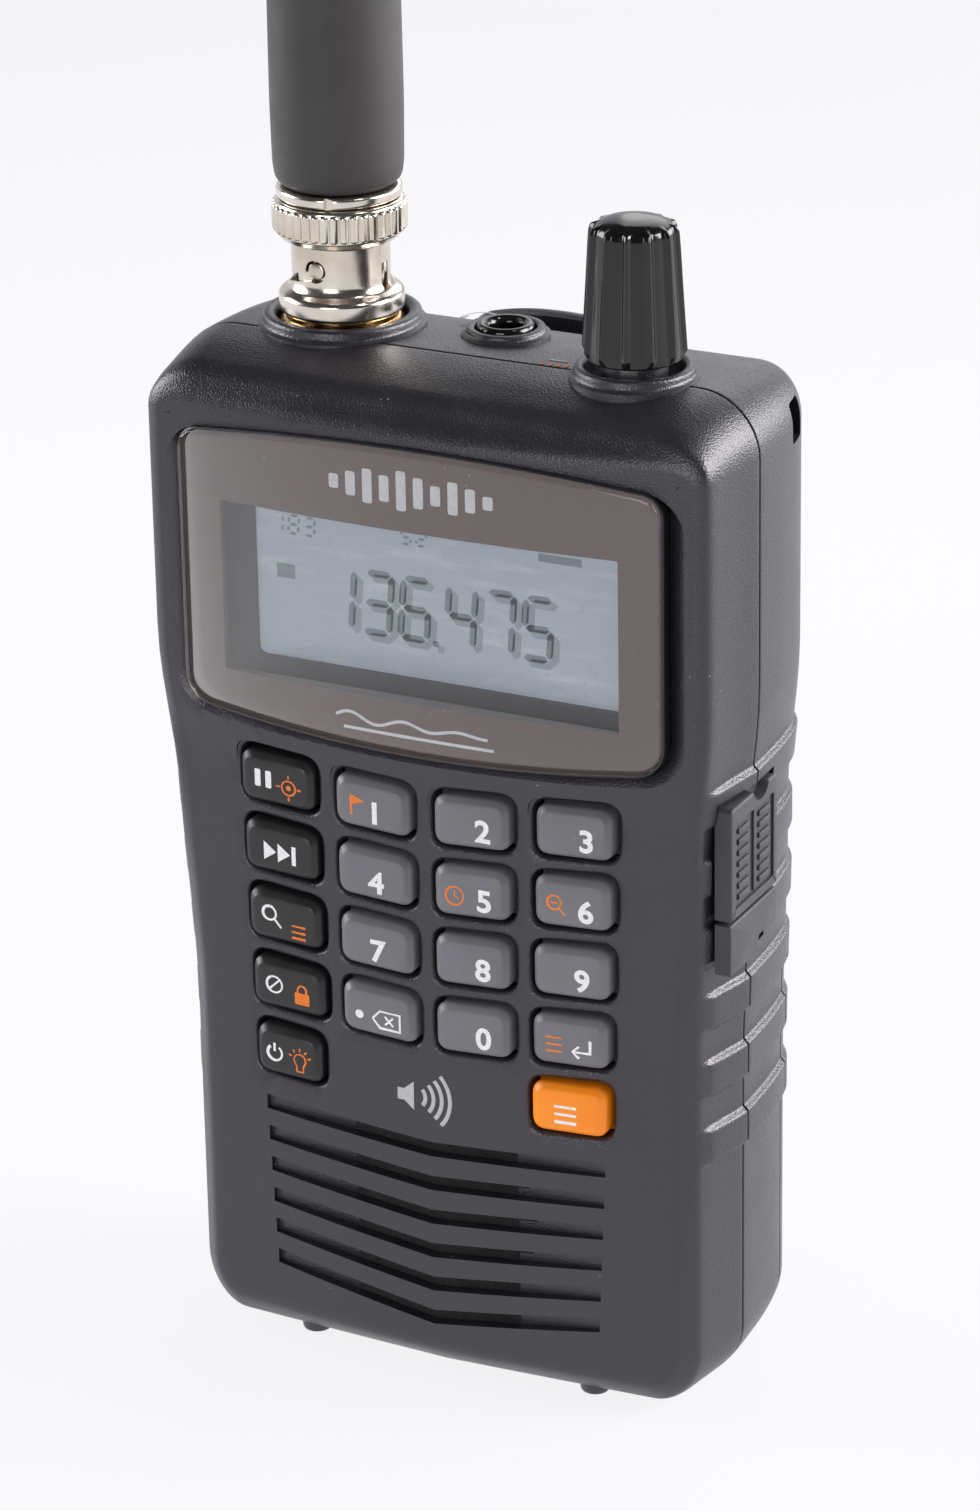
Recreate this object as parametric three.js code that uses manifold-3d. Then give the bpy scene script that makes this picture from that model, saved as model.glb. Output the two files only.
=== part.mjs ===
// A handheld radio receiver with a keypad, a display, a rubber aerial and a belt clip.
// Millimetres, +Z up. The front faces -Y, +X is the viewer's right, the feet stand on z = 0.
// Depths are given from a plane just inside the case; the finished group is moved so that the
// origin lies under the middle of the whole receiver.
import * as THREE from "three";
import { mergeVertices } from "three/addons/utils/BufferGeometryUtils.js";
import Module from "manifold-3d";

const wasm = await Module();
wasm.setup();

// ---------------------------------------------------------------- driving dimensions

const GAP = 0.3; // clearance between neighbouring pieces
const PARTING_Y = -3.5; // plane where the front and rear cases meet
const FACE_Y = -15.0; // front face at the middle of the keypad
const BACK_Y = 15.5; // rear face
const BOW = 0.002; // the front face falls back by BOW * x * x
const BOTTOM_Z = 0.35; // underside of the case at the middle
const BOTTOM_V = 0.027; // the underside rises by BOTTOM_V * |x|
const TOP_Z = 115.9;
const HEAD_HALF = 34.1; // half width of the upper case
const CORNER = 7; // corner radius of the case seen from the front
const WALL = 2;

// The head stands further forward than the keypad: edge is how far the side edge comes forward
// between two heights, face the same for the flat front, trim how much less the sides then lean in.
const HEAD = { low: 40, high: 84, edge: 1.9, faceLow: 69, faceHigh: 77, face: 1.1, trim: 0.28 };

const PAD = { count: 6, first: 30.1, pitch: 8, height: 4.9, ramp: 0.7, proud: 0.6 };

const KEY = { pitchX: 11.8, narrowing: 0.15, pitchZ: 8.1, firstZ: 68.7, sag: 0.06, slope: 0.055 };
const KEY_FACE_Y = -15.9;
const KEY_SIZE = { baseW: 8.9, baseH: 5.7, faceW: 7.7, faceH: 4.6, radius: 1.3 };
const KEY_FLANGE = { w: 10.6, h: 7.3, front: -12.2, back: -11.7 };
const KEY_NAMES = [
  ["key_pause", "key_1", "key_2", "key_3"],
  ["key_scan", "key_4", "key_5", "key_6"],
  ["key_search", "key_7", "key_8", "key_9"],
  ["key_lock", "key_clear", "key_0", "key_enter"],
  ["key_power", null, null, "key_function"],
];

const LENS = { half: 28.1, sideLow: 76.7, midLow: 75.2, sideHigh: 107.8, midHigh: 109.3, topGrow: 0.6 };
const LENS_FRONT_Y = -17.5;
const LENS_BACK_Y = -14.6;
const WINDOW = { half: 24.2, low: 79.6, high: 101.0 };

const SLOT = {
  count: 6, half: 20.7, shorter: 0.16, height: 1.75, endTop: 30.3, endPitch: 3.8, midTop: 29.0, midPitch: 4.14,
};
const SPEAKER = { z: 19.3, radius: 13, ribX: 7.4, ribHalf: 0.5 };

const AERIAL = { x: -17.2, y: 2.0 };
const KNOB = { x: 19.3, y: -2.3 };
const PHONE = { x: 0.8, y: 5.0 };
const LUG_Z = TOP_Z + 6.7;
const AERIAL_TOP_Z = 282;

const PORT = { yMin: -10.9, yMax: 1.1, flapLow: 59.7, flapHigh: 72.5, anchorLow: 53.4 };
const PORT_FLOOR_X = 31.9;
const USB = { z: 64.0, y: -3.4, w: 7.7, h: 3.9 };

const DOOR = { y: 9.4, top: 47.0 };
const BAY = { half: 28.2, low: 5.2, high: 36.4, front: -1.2 };
const CELL = { radius: 7.1, length: 49.2, y: 6.2, z: [12.8, 28.8] };

const CLIP_PIN = { y: 19.7, z: 101 };

const MIDDLE_Y = 2.9; // middle of the whole depth, lens to belt clip; the origin lies under it

// ---------------------------------------------------------------- solids and booleans

function solid(geometry) {
  const plain = new THREE.BufferGeometry();
  const source = geometry.index ? geometry.toNonIndexed() : geometry;
  plain.setAttribute("position", source.getAttribute("position"));
  const merged = mergeVertices(plain, 1e-4);
  const mesh = new wasm.Mesh({
    numProp: 3,
    vertProperties: merged.attributes.position.array,
    triVerts: new Uint32Array(merged.index.array),
  });
  return new wasm.Manifold(mesh);
}

function geometryOf(shape) {
  const mesh = shape.getMesh();
  const geometry = new THREE.BufferGeometry();
  geometry.setAttribute("position", new THREE.BufferAttribute(mesh.vertProperties, 3));
  geometry.setIndex(new THREE.BufferAttribute(mesh.triVerts, 1));
  const flat = geometry.toNonIndexed();
  flat.computeVertexNormals();
  return flat;
}

const join = (shapes) => shapes.reduce((sum, shape) => sum.add(shape));
const cut = (base, tools) => base.subtract(join(tools));

function box(x0, x1, y0, y1, z0, z1) {
  const geometry = new THREE.BoxGeometry(x1 - x0, y1 - y0, z1 - z0);
  geometry.translate((x0 + x1) / 2, (y0 + y1) / 2, (z0 + z1) / 2);
  return solid(geometry);
}

// A closed skin over rings that all have the same number of points, capped at both ends.
function loft(rings) {
  const count = rings[0].length;
  const positions = [];
  const push = (...points) => points.forEach((p) => positions.push(p.x, p.y, p.z));
  const middle = (ring) => ring.reduce((sum, p) => sum.add(p), new THREE.Vector3()).divideScalar(count);
  for (let r = 0; r + 1 < rings.length; r++) {
    for (let i = 0; i < count; i++) {
      const j = (i + 1) % count;
      push(rings[r][i], rings[r][j], rings[r + 1][i]);
      push(rings[r][j], rings[r + 1][j], rings[r + 1][i]);
    }
  }
  const first = rings[0];
  const last = rings[rings.length - 1];
  const firstMiddle = middle(first);
  const lastMiddle = middle(last);
  for (let i = 0; i < count; i++) {
    const j = (i + 1) % count;
    push(firstMiddle, first[j], first[i]);
    push(lastMiddle, last[i], last[j]);
  }
  const geometry = new THREE.BufferGeometry();
  geometry.setAttribute("position", new THREE.Float32BufferAttribute(positions, 3));
  return solid(geometry);
}

// A polygon of [x, z] points between two y planes.
function slab(points, yFront, yBack) {
  const shape = new THREE.Shape(points.map(([x, z]) => new THREE.Vector2(x, z)));
  const geometry = new THREE.ExtrudeGeometry(shape, { depth: yBack - yFront, bevelEnabled: false });
  geometry.rotateX(Math.PI / 2);
  geometry.translate(0, yBack, 0);
  return solid(geometry);
}

// A lathe about a vertical axis through (x, y); the profile holds [radius, z] from low to high.
function turned(profile, x, y, segments = 32) {
  const points = profile.map(([radius, z]) => new THREE.Vector2(radius, z));
  const geometry = new THREE.LatheGeometry(points, segments);
  geometry.rotateX(Math.PI / 2);
  geometry.translate(x, y, 0);
  return solid(geometry);
}

// The same lathe about a line parallel to the Y axis, with [radius, y] from front to back.
function turnedAlongY(profile, x, z, segments = 32) {
  const points = profile.map(([radius, y]) => new THREE.Vector2(radius, y));
  const geometry = new THREE.LatheGeometry(points, segments);
  geometry.translate(x, 0, z);
  return solid(geometry);
}

// The same lathe about a line parallel to the X axis, with [radius, x] from left to right.
function turnedAlongX(profile, y, z, segments = 24) {
  const points = profile.map(([radius, x]) => new THREE.Vector2(radius, x));
  const geometry = new THREE.LatheGeometry(points, segments);
  geometry.rotateZ(-Math.PI / 2);
  geometry.translate(0, y, z);
  return solid(geometry);
}

function roundedRectangle(w, h, radius, steps = 2) {
  const points = [];
  const centres = [[1, -1, -90], [1, 1, 0], [-1, 1, 90], [-1, -1, 180]];
  for (const [sx, sz, start] of centres) {
    for (let i = 0; i <= steps; i++) {
      const angle = THREE.MathUtils.degToRad(start + (90 * i) / steps);
      const x = sx * (w / 2 - radius) + radius * Math.cos(angle);
      const z = sz * (h / 2 - radius) + radius * Math.sin(angle);
      points.push([x, z]);
    }
  }
  return points;
}

const smooth = (t) => THREE.MathUtils.smoothstep(t, 0, 1);
const bowAt = (x) => BOW * x * x;
const edgeForward = (z) => smooth((z - HEAD.low) / (HEAD.high - HEAD.low));
const faceForward = (z) => HEAD.face * smooth((z - HEAD.faceLow) / (HEAD.faceHigh - HEAD.faceLow));

// ---------------------------------------------------------------- case outline

// Half width of the case at height z, without the grip pads.
function sideHalf(z) {
  const waist = 1.3 * smooth((84 - z) / 18);
  const taper = 0.5 * smooth((62 - z) / 24);
  return HEAD_HALF - waist - taper;
}

// Heights where the side outline bends: the waist and the edges of each grip pad.
function sideStations() {
  const stations = [];
  for (let i = 0; i < PAD.count; i++) {
    const low = PAD.first + i * PAD.pitch;
    stations.push([low, 0], [low + PAD.ramp, 1]);
    stations.push([low + PAD.height - PAD.ramp, 1], [low + PAD.height, 0]);
  }
  stations.push([81.3, 0], [86, 0]);
  return stations;
}

// Right half of the case outline, from the underside to the top, as { x, z, nx, nz, pad }.
// The plain outline has fewer corner steps and no pads, and shapes the hollows.
function halfOutline(plain) {
  const points = [];
  const steps = plain ? 2 : 4;
  const stations = plain ? [[40, 0], [64, 0], [86, 0]] : sideStations();
  const lowHalf = sideHalf(0);
  const lowZ = (x) => BOTTOM_Z + BOTTOM_V * Math.abs(x);
  points.push({ x: lowHalf - CORNER, z: lowZ(lowHalf - CORNER), nx: 0, nz: -1, pad: 0 });
  const cornerLowZ = lowZ(lowHalf - CORNER) + CORNER;
  for (let i = 1; i <= steps; i++) {
    const a = THREE.MathUtils.degToRad(-90 + (90 * i) / steps);
    const x = lowHalf - CORNER + CORNER * Math.cos(a);
    points.push({ x, z: cornerLowZ + CORNER * Math.sin(a), nx: Math.cos(a), nz: Math.sin(a), pad: 0 });
  }
  for (const [z, pad] of stations) {
    points.push({ x: sideHalf(z), z, nx: 1, nz: 0, pad });
  }
  for (let i = 0; i <= steps; i++) {
    const a = THREE.MathUtils.degToRad((90 * i) / steps);
    const x = HEAD_HALF - CORNER + CORNER * Math.cos(a);
    const z = TOP_Z - CORNER + CORNER * Math.sin(a);
    points.push({ x, z, nx: Math.cos(a), nz: Math.sin(a), pad: 0 });
  }
  return points;
}

// One closed ring of the case at a depth y. The insets shrink it at the sides, top and underside;
// fore is how much of the head's forward step it follows.
function caseRing(y, { side, top, low, pad = 0, fore = 0, plain = false }) {
  const half = halfOutline(plain);
  const place = (p, mirror) => {
    const inset = p.nz > 0 ? top : low;
    const step = fore * edgeForward(p.z);
    const x = (p.x - p.nx * side * (1 - HEAD.trim * step) + p.pad * PAD.proud * pad) * mirror;
    return new THREE.Vector3(x, y - HEAD.edge * step, p.z - p.nz * inset);
  };
  const centreLow = new THREE.Vector3(0, y, BOTTOM_Z + low);
  const centreTop = new THREE.Vector3(0, y - HEAD.edge * fore, TOP_Z - top);
  const right = half.map((p) => place(p, 1));
  const left = half.map((p) => place(p, -1)).reverse();
  return [centreLow, ...right, centreTop, ...left];
}

// Everything behind the bowed front face, with the head's step, moved back by a distance.
function behindFace(back) {
  const steps = 8;
  const heights = [-20, HEAD.faceLow, 71, 73, 75, HEAD.faceHigh, 140];
  const rings = heights.map((z) => {
    const outline = [new THREE.Vector3(42, 60, z), new THREE.Vector3(-42, 60, z)];
    for (let i = 0; i <= steps; i++) {
      const x = -42 + (84 * i) / steps;
      outline.push(new THREE.Vector3(x, FACE_Y + back - faceForward(z) + bowAt(x), z));
    }
    return outline;
  });
  return loft(rings);
}

const FRONT_SECTIONS = [
  [PARTING_Y - GAP / 2, { side: 0, top: 0, low: 0, pad: 1 }],
  [-7, { side: 0.75, top: 0.5, low: 0, pad: 1, fore: 0.35 }],
  [-10, { side: 1.4, top: 1.7, low: 0.05, pad: 0.75, fore: 0.85 }],
  [-10.9, { side: 1.65, top: 2.4, low: 0.15, pad: 0.2, fore: 1 }],
  [-12, { side: 2.6, top: 3.7, low: 0.35, fore: 1 }],
  [-13, { side: 4.0, top: 5.0, low: 1.1, fore: 1 }],
];

const REAR_SECTIONS = [
  [PARTING_Y + GAP / 2, { side: 0, top: 0, low: 0, pad: 1 }],
  [3, { side: 0.3, top: 0.2, low: 0.3, pad: 1 }],
  [8.5, { side: 1.0, top: 0.7, low: 0.8, pad: 1 }],
  [12, { side: 2.0, top: 1.5, low: 1.7, pad: 0.8 }],
  [14.4, { side: 3.7, top: 3.0, low: 3.2, pad: 0.3 }],
  [BACK_Y, { side: 6.0, top: 5.4, low: 5.4, pad: 0 }],
];

function frontOuter() {
  const rings = FRONT_SECTIONS.map(([y, options]) => caseRing(y, options));
  const cap = caseRing(FACE_Y - 1.6, { side: 6, top: 6.6, low: 4.2, fore: 1 });
  return loft([...rings, cap]).intersect(behindFace(0));
}

const rearOuter = () => loft(REAR_SECTIONS.map(([y, options]) => caseRing(y, options)).reverse());

function frontCavity() {
  const bend = { side: WALL + 0.6, top: WALL + 0.6, low: WALL + 0.6, plain: true };
  const near = { side: 6.6, top: 8, low: 6, plain: true };
  const rings = [caseRing(PARTING_Y + 1, bend), caseRing(-8, bend), caseRing(FACE_Y + WALL - 1, near)];
  return loft(rings).intersect(behindFace(WALL));
}

function rearCavity() {
  const bend = { side: WALL + 0.3, top: WALL + 0.3, low: WALL + 0.3, plain: true };
  const far = { side: 5.4, top: 4.6, low: 4.6, plain: true };
  return loft([caseRing(BACK_Y - WALL, far), caseRing(8.5, bend), caseRing(PARTING_Y - 1, bend)]);
}

// ---------------------------------------------------------------- lens outline

// The lens grown by a distance; its top edge grows by a share of that.
function lensOutline(grow, topShare = LENS.topGrow) {
  const right = LENS.half + grow;
  const low = (x) => LENS.midLow - grow + (LENS.sideLow - LENS.midLow) * (x / 25) ** 2;
  const up = grow > 0 ? grow * topShare : grow;
  const high = (x) => LENS.midHigh + up + (LENS.sideHigh - LENS.midHigh) * (x / 26) ** 2;
  const lowR = 3.4 + grow;
  const highR = 2.4 + grow;
  const half = [[right * 0.45, low(right * 0.45)]];
  for (const a of [-90, -60, -30, 0]) {
    const t = THREE.MathUtils.degToRad(a);
    half.push([right - lowR + lowR * Math.cos(t), low(right - lowR) + lowR + lowR * Math.sin(t)]);
  }
  for (const a of [0, 30, 60, 90]) {
    const t = THREE.MathUtils.degToRad(a);
    half.push([right - highR + highR * Math.cos(t), high(right - highR) - highR + highR * Math.sin(t)]);
  }
  half.push([right * 0.45, high(right * 0.45)]);
  const left = half.map(([x, z]) => [-x, z]).reverse();
  return [[0, low(0)], ...half, [0, high(0)], ...left];
}

function lensRing(grow, y, topShare) {
  return lensOutline(grow, topShare).map(([x, z]) => new THREE.Vector3(x, y + bowAt(x), z));
}

const flatRing = (ring, y) => ring.map((p) => new THREE.Vector3(p.x, y, p.z));

// ---------------------------------------------------------------- keys

function keyCentre(column, row) {
  const x = (column - 1.5) * (KEY.pitchX - KEY.narrowing * row);
  const z = KEY.firstZ - KEY.pitchZ * row - KEY.sag * (17.7 - Math.abs(x));
  return [x, z];
}

// A rounded rectangle about a key centre, leaning with the chevron of the keypad.
function keyRing(column, row, w, h, radius, y) {
  const [x0, z0] = keyCentre(column, row);
  const lean = KEY.slope * Math.sign(x0);
  const outline = roundedRectangle(w, h, radius, 1);
  return outline.map(([x, z]) => new THREE.Vector3(x0 + x, y, z0 + z + lean * x));
}

function eachKey(visit) {
  KEY_NAMES.forEach((names, row) => {
    names.forEach((name, column) => {
      if (name) visit(name, column, row);
    });
  });
}

function keyShape(column, row) {
  const bow = bowAt(keyCentre(column, row)[0]);
  const { baseW, baseH, faceW, faceH, radius } = KEY_SIZE;
  const ring = (w, h, r, y) => keyRing(column, row, w, h, r, y);
  return loft([
    ring(KEY_FLANGE.w, KEY_FLANGE.h, 1.2, KEY_FLANGE.back + bow),
    ring(KEY_FLANGE.w, KEY_FLANGE.h, 1.2, KEY_FLANGE.front + bow),
    ring(baseW, baseH, radius, KEY_FLANGE.front + bow - 0.05),
    ring(baseW, baseH, radius, FACE_Y - 0.1 + bow),
    ring(faceW + 0.5, faceH + 0.5, radius, KEY_FACE_Y + 0.45 + bow),
    ring(faceW, faceH, radius, KEY_FACE_Y + bow),
  ]);
}

function keyHole(column, row) {
  const w = KEY_SIZE.baseW + 0.8;
  const h = KEY_SIZE.baseH + 0.9;
  return loft([keyRing(column, row, w, h, 1.5, -9), keyRing(column, row, w, h, 1.5, -19)]);
}

// ---------------------------------------------------------------- speaker slots

const slotEnd = (k) => SLOT.endTop - k * SLOT.endPitch;
const slotMiddle = (k) => SLOT.midTop - k * SLOT.midPitch;
const slotHalf = (k) => SLOT.half - k * SLOT.shorter;

// The part of chevron slot k between two x positions on one side of its apex, or across it.
// shy draws its two long edges in a little.
function slotPiece(k, x0, x1, yFront, yBack, shy = 0) {
  const top = (x) => slotMiddle(k) + ((slotEnd(k) - slotMiddle(k)) * Math.abs(x)) / slotHalf(k);
  const xs = x0 < 0 && x1 > 0 ? [x0, 0, x1] : [x0, x1];
  const lower = xs.map((x) => [x, top(x) - SLOT.height + shy]);
  const upper = xs.map((x) => [x, top(x) - shy]).reverse();
  return slab([...lower, ...upper], yFront, yBack);
}

function slotCutters() {
  const cutters = [];
  for (let k = 0; k < SLOT.count; k++) {
    cutters.push(slotPiece(k, -slotHalf(k), slotHalf(k), -19, FACE_Y + 1.5));
    const rise = Math.abs(slotMiddle(k) - SLOT.height / 2 - SPEAKER.z);
    const reach = Math.sqrt(Math.max(0, 12.2 ** 2 - rise * rise));
    const { ribX, ribHalf } = SPEAKER;
    const inner = Math.min(reach, ribX - ribHalf);
    cutters.push(slotPiece(k, -inner, inner, -17, -11, 0.15));
    if (reach > ribX + ribHalf + 1) {
      cutters.push(slotPiece(k, ribX + ribHalf, reach, -17, -11, 0.15));
      cutters.push(slotPiece(k, -reach, -ribX - ribHalf, -17, -11, 0.15));
    }
  }
  return cutters;
}

// ---------------------------------------------------------------- features shared by both cases

function ring(x, y, outer, inner, low, high, segments = 24) {
  const crown = (outer + inner) / 2;
  return turned(
    [[inner, low], [outer, low], [outer, high - 0.5], [crown, high], [inner, high - 0.5], [inner, low]],
    x, y, segments,
  );
}

function topBosses() {
  return join([
    ring(AERIAL.x, AERIAL.y, 8.6, 7.1, TOP_Z - 1, TOP_Z + 1.3, 28),
    ring(KNOB.x, KNOB.y, 6.4, 5.3, TOP_Z - 1, TOP_Z + 1.2),
    ring(PHONE.x, PHONE.y, 4.3, 3.6, TOP_Z - 1, TOP_Z + 0.6, 20),
  ]);
}

const bore = (x, y, radius, low, high, segments = 24) =>
  turned([[0, low], [radius, low], [radius, high], [0, high]], x, y, segments);

function topBores() {
  return join([
    bore(AERIAL.x, AERIAL.y, 5.1, TOP_Z - 6, TOP_Z + 4),
    bore(KNOB.x, KNOB.y, 3.9, TOP_Z - 6, TOP_Z + 4),
    bore(PHONE.x, PHONE.y, 3.4, TOP_Z - 6, TOP_Z + 4),
  ]);
}

function portCutters() {
  const pocket = box(PORT_FLOOR_X, 40, PORT.yMin - GAP, PORT.yMax + GAP, PORT.anchorLow - GAP,
    PORT.flapHigh + 0.5);
  const mouth = box(27, 40, USB.y - USB.h / 2 - 0.5, USB.y + USB.h / 2 + 0.5,
    USB.z - USB.w / 2 - 0.5, USB.z + USB.w / 2 + 0.5);
  return [pocket, mouth];
}

const FOOT = { x: 17.4, yFront: -10.2, yRear: 4.5 };

function foot(x, y) {
  const high = BOTTOM_Z + BOTTOM_V * FOOT.x + 1.7;
  return turned([[0, 0], [1.5, 0], [2.0, high], [0, high]], x, y, 12);
}

const bothSides = (x) => [-x, x];

// ---------------------------------------------------------------- front case

function frontCase() {
  const backing = loft([flatRing(lensRing(2.8, 0), -11.2), lensRing(2.8, -14.9), lensRing(1.2, -15.6)]);
  const cove = loft([lensRing(GAP, -14.7), lensRing(3.4, -16.3, 0), lensRing(3.4, -19, 0)]);
  const pocket = loft([flatRing(lensRing(GAP, 0), LENS_BACK_Y + GAP), flatRing(lensRing(GAP, 0), -20)]);
  const glassHole = box(-WINDOW.half - 0.4, WINDOW.half + 0.4, -18, -9, WINDOW.low - 0.3, WINDOW.high + 0.3);
  const glassRecess = box(-26.4, 26.4, -12, -5, 78, 102.8);
  const keyHoles = [];
  eachKey((name, column, row) => keyHoles.push(keyHole(column, row)));
  const half = box(-50, 50, -30, PARTING_Y - GAP / 2, -5, 130);
  const bosses = topBosses().intersect(half);
  const posts = bothSides(29).map((x) => box(x - 1.8, x + 1.8, -13, -4.2, 76, 79.6));
  const feet = bothSides(FOOT.x).map((x) => foot(x, FOOT.yFront));
  const hollow = frontOuter().subtract(frontCavity());
  const shell = join([hollow, backing, bosses, ...posts, ...feet]);
  return cut(shell, [cove, pocket, glassHole, glassRecess, ...keyHoles, ...slotCutters(), topBores(), ...portCutters()]);
}

// ---------------------------------------------------------------- rear case and battery door

const doorRegion = (clear) => box(-50, 50, DOOR.y - clear, 40, -10, DOOR.top + clear);

const DOOR_TAB_X = 13;

function rearCase() {
  const lip = 1.5;
  const upper = rearCavity().intersect(box(-50, 50, -10, 40, DOOR.top + GAP + lip, 130));
  const lower = rearCavity().intersect(box(-50, 50, -10, DOOR.y - GAP - lip, -5, DOOR.top + GAP + lip + 1));
  const hollow = cut(rearOuter(), [upper, lower, doorRegion(GAP)]);
  const side = BAY.half + 1.6;
  const tub = box(-side, side, BAY.front - 1.4, DOOR.y - GAP, BAY.low - 1.4, BAY.high + 1.4);
  const bay = box(-BAY.half, BAY.half, BAY.front, 30, BAY.low, BAY.high);
  const tubInside = tub.intersect(rearOuterShrunk());
  const tabSlots = bothSides(DOOR_TAB_X).map((x) =>
    box(x - 4.3, x + 4.3, 13.2, 14.9, DOOR.top - 1, DOOR.top + 3));
  const strapSlot = box(26, 40, 6.6, 10.2, 107.2, 111.6);
  const half = box(-50, 50, PARTING_Y + GAP / 2, 40, -5, 130);
  const bosses = topBosses().intersect(half);
  const posts = bothSides(26).flatMap((x) => [
    turnedAlongY([[0, -3.2], [2.6, -3.2], [2.6, 14], [0, 14]], x, 98, 12),
    turnedAlongY([[0, -3.2], [2.6, -3.2], [2.6, 8.6], [0, 8.6]], x, 43.4, 12),
  ]);
  const screwHoles = bothSides(26).flatMap((x) => [
    turnedAlongY([[0, 4], [1.5, 4], [1.5, 9], [2.4, 9], [2.4, 20], [0, 20]], x, 98, 12),
    turnedAlongY([[0, 0], [1.5, 0], [1.5, 5], [2.4, 5], [2.4, 20], [0, 20]], x, 43.4, 12),
  ]);
  const clipHole = turnedAlongY([[0, 6], [1.6, 6], [1.6, 20], [0, 20]], 0, 84, 12);
  const clipPost = turnedAlongY([[0, 11], [3.2, 11], [3.2, 14], [0, 14]], 0, 84, 12);
  const feet = bothSides(FOOT.x).map((x) => foot(x, FOOT.yRear));
  const shell = join([hollow, tubInside, bosses, ...posts, clipPost, ...feet]);
  return cut(shell, [bay, ...tabSlots, strapSlot, ...screwHoles, clipHole, topBores(), ...portCutters()]);
}

// The rear case outline drawn in a little, to trim the battery bay walls inside it.
function rearOuterShrunk() {
  const shrink = 0.8;
  const sections = REAR_SECTIONS.map(([y, o]) =>
    [y, { side: o.side + shrink, top: o.top + shrink, low: o.low + shrink, pad: 0 }]);
  return loft(sections.map(([y, options]) => caseRing(y, options)).reverse());
}

function batteryDoor() {
  const inside = loft([
    caseRing(BACK_Y - 1.8, { side: 7.6, top: 6, low: 7, pad: 0 }),
    caseRing(12.6, { side: 4.2, top: 4, low: 4, pad: 0 }),
    caseRing(DOOR.y - 2, { side: 3.0, top: 2.5, low: 3.0, pad: 0 }),
  ]);
  const skin = rearOuter().intersect(doorRegion(0));
  const inner = inside.intersect(box(-50, 50, -5, 40, -5, DOOR.top + 5));
  const tabs = bothSides(DOOR_TAB_X).map((x) => box(x - 4, x + 4, 13.6, 14.6, DOOR.top - 4, DOOR.top + 2.2));
  const grips = [];
  for (let i = 0; i < 5; i++) {
    const z = 34 + 1.8 * i;
    grips.push(box(-9 + i, 9 - i, BACK_Y - 0.5, BACK_Y + 1, z, z + 0.9));
  }
  return cut(join([skin.subtract(inner), ...tabs]), grips);
}

// ---------------------------------------------------------------- display

function displayWindow() {
  return loft([
    flatRing(lensRing(0, 0), LENS_BACK_Y),
    lensRing(0, LENS_FRONT_Y + 0.7),
    lensRing(-0.7, LENS_FRONT_Y),
    lensRing(-2.2, LENS_FRONT_Y - 0.02),
  ]);
}

const lcdPanel = () => box(-26, 26, -11.7, -10.1, 78.4, 102.4);

function lcdHolder() {
  const body = box(-27, 27, -9.8, -7.4, 77.4, 103.4);
  const relief = box(-24, 24, -10.5, -8.6, 80, 101);
  return body.subtract(relief);
}

// ---------------------------------------------------------------- inside the case

function keypadMat() {
  const sheet = box(-23.5, 23.5, -8.7, -7.3, 31.5, 73.5);
  const pads = [];
  eachKey((name, column, row) => {
    const [x, z] = keyCentre(column, row);
    pads.push(box(x - 3, x + 3, -9.9, -8, z - 2, z + 2));
  });
  return join([sheet, ...pads]);
}

function mainBoard() {
  const board = box(-28.5, 28.5, -7.0, -5.5, 35, 105);
  const notches = bothSides(29).map((x) => box(x - 2.2, x + 2.2, -8, -4, 75.6, 80));
  return cut(board, notches);
}

const rfBoard = () => box(-22, 22, 9.6, 10.8, 62, 80.2);

function shieldCan() {
  const body = box(-18, 18, 5.2, 9.3, 63.5, 79);
  const hollow = box(-17.5, 17.5, 5.7, 10, 64, 78.5);
  return body.subtract(hollow);
}

function speakerFrame() {
  const { z, radius } = SPEAKER;
  return turnedAlongY(
    [[radius - 1.2, -11.0], [radius, -11.0], [radius, -10.2], [9.5, -7.4], [6.2, -7.4], [6.2, -8.0],
      [9.0, -8.0], [radius - 1.2, -10.4], [radius - 1.2, -11.0]],
    0, z, 28,
  );
}

function speakerCone() {
  const { z, radius } = SPEAKER;
  return turnedAlongY(
    [[0, -9.9], [2.8, -9.4], [4.4, -8.6], [radius - 2.4, -10.9], [radius - 1.6, -10.9],
      [radius - 1.6, -10.6], [radius - 2.4, -10.5], [4.4, -8.2], [0, -8.8]],
    0, z, 28,
  );
}

const speakerMagnet = () => turnedAlongY([[0, -8.2], [5.8, -8.0], [5.8, -4.4], [0, -4.4]], 0, SPEAKER.z, 24);

const speakerCloth = () => turnedAlongY([[0, -12.3], [12.6, -12.3], [12.6, -12.0], [0, -12.0]], 0, SPEAKER.z, 24);

function usbJack() {
  const { y, z, w, h } = USB;
  const shell = box(23.5, 31.2, y - h / 2, y + h / 2, z - w / 2, z + w / 2);
  const mouth = box(25, 32, y - h / 2 + 0.4, y + h / 2 - 0.4, z - w / 2 + 0.4, z + w / 2 - 0.4);
  const tongue = box(24, 30.4, y - 0.5, y + 0.3, z - 2.4, z + 2.4);
  return shell.subtract(mouth).add(tongue);
}

// ---------------------------------------------------------------- port cover

const PORT_OUTER_X = 34.15;

function portFlap() {
  const { yMin, yMax, flapLow, flapHigh } = PORT;
  const plate = [
    [PORT_FLOOR_X + GAP, flapLow], [PORT_OUTER_X, flapLow],
    [PORT_OUTER_X, flapHigh - 0.8], [PORT_OUTER_X - 0.8, flapHigh], [PORT_FLOOR_X + GAP, flapHigh],
  ];
  const body = slab(plate, yMin, yMax);
  const plug = box(31.4, 32.6, USB.y - 1.7, USB.y + 1.7, USB.z - 3.4, USB.z + 3.2);
  const notch = turnedAlongX([[0, 33.0], [2.0, 33.0], [2.6, 36], [0, 36]], -3.2, flapHigh + 0.9, 16);
  const dots = [-8.2, -5.8, -1.6].map((y) => box(33.7, 36, y - 0.4, y + 0.4, 61.6, 70.0));
  return cut(join([body, plug]), [notch, ...dots]);
}

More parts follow.
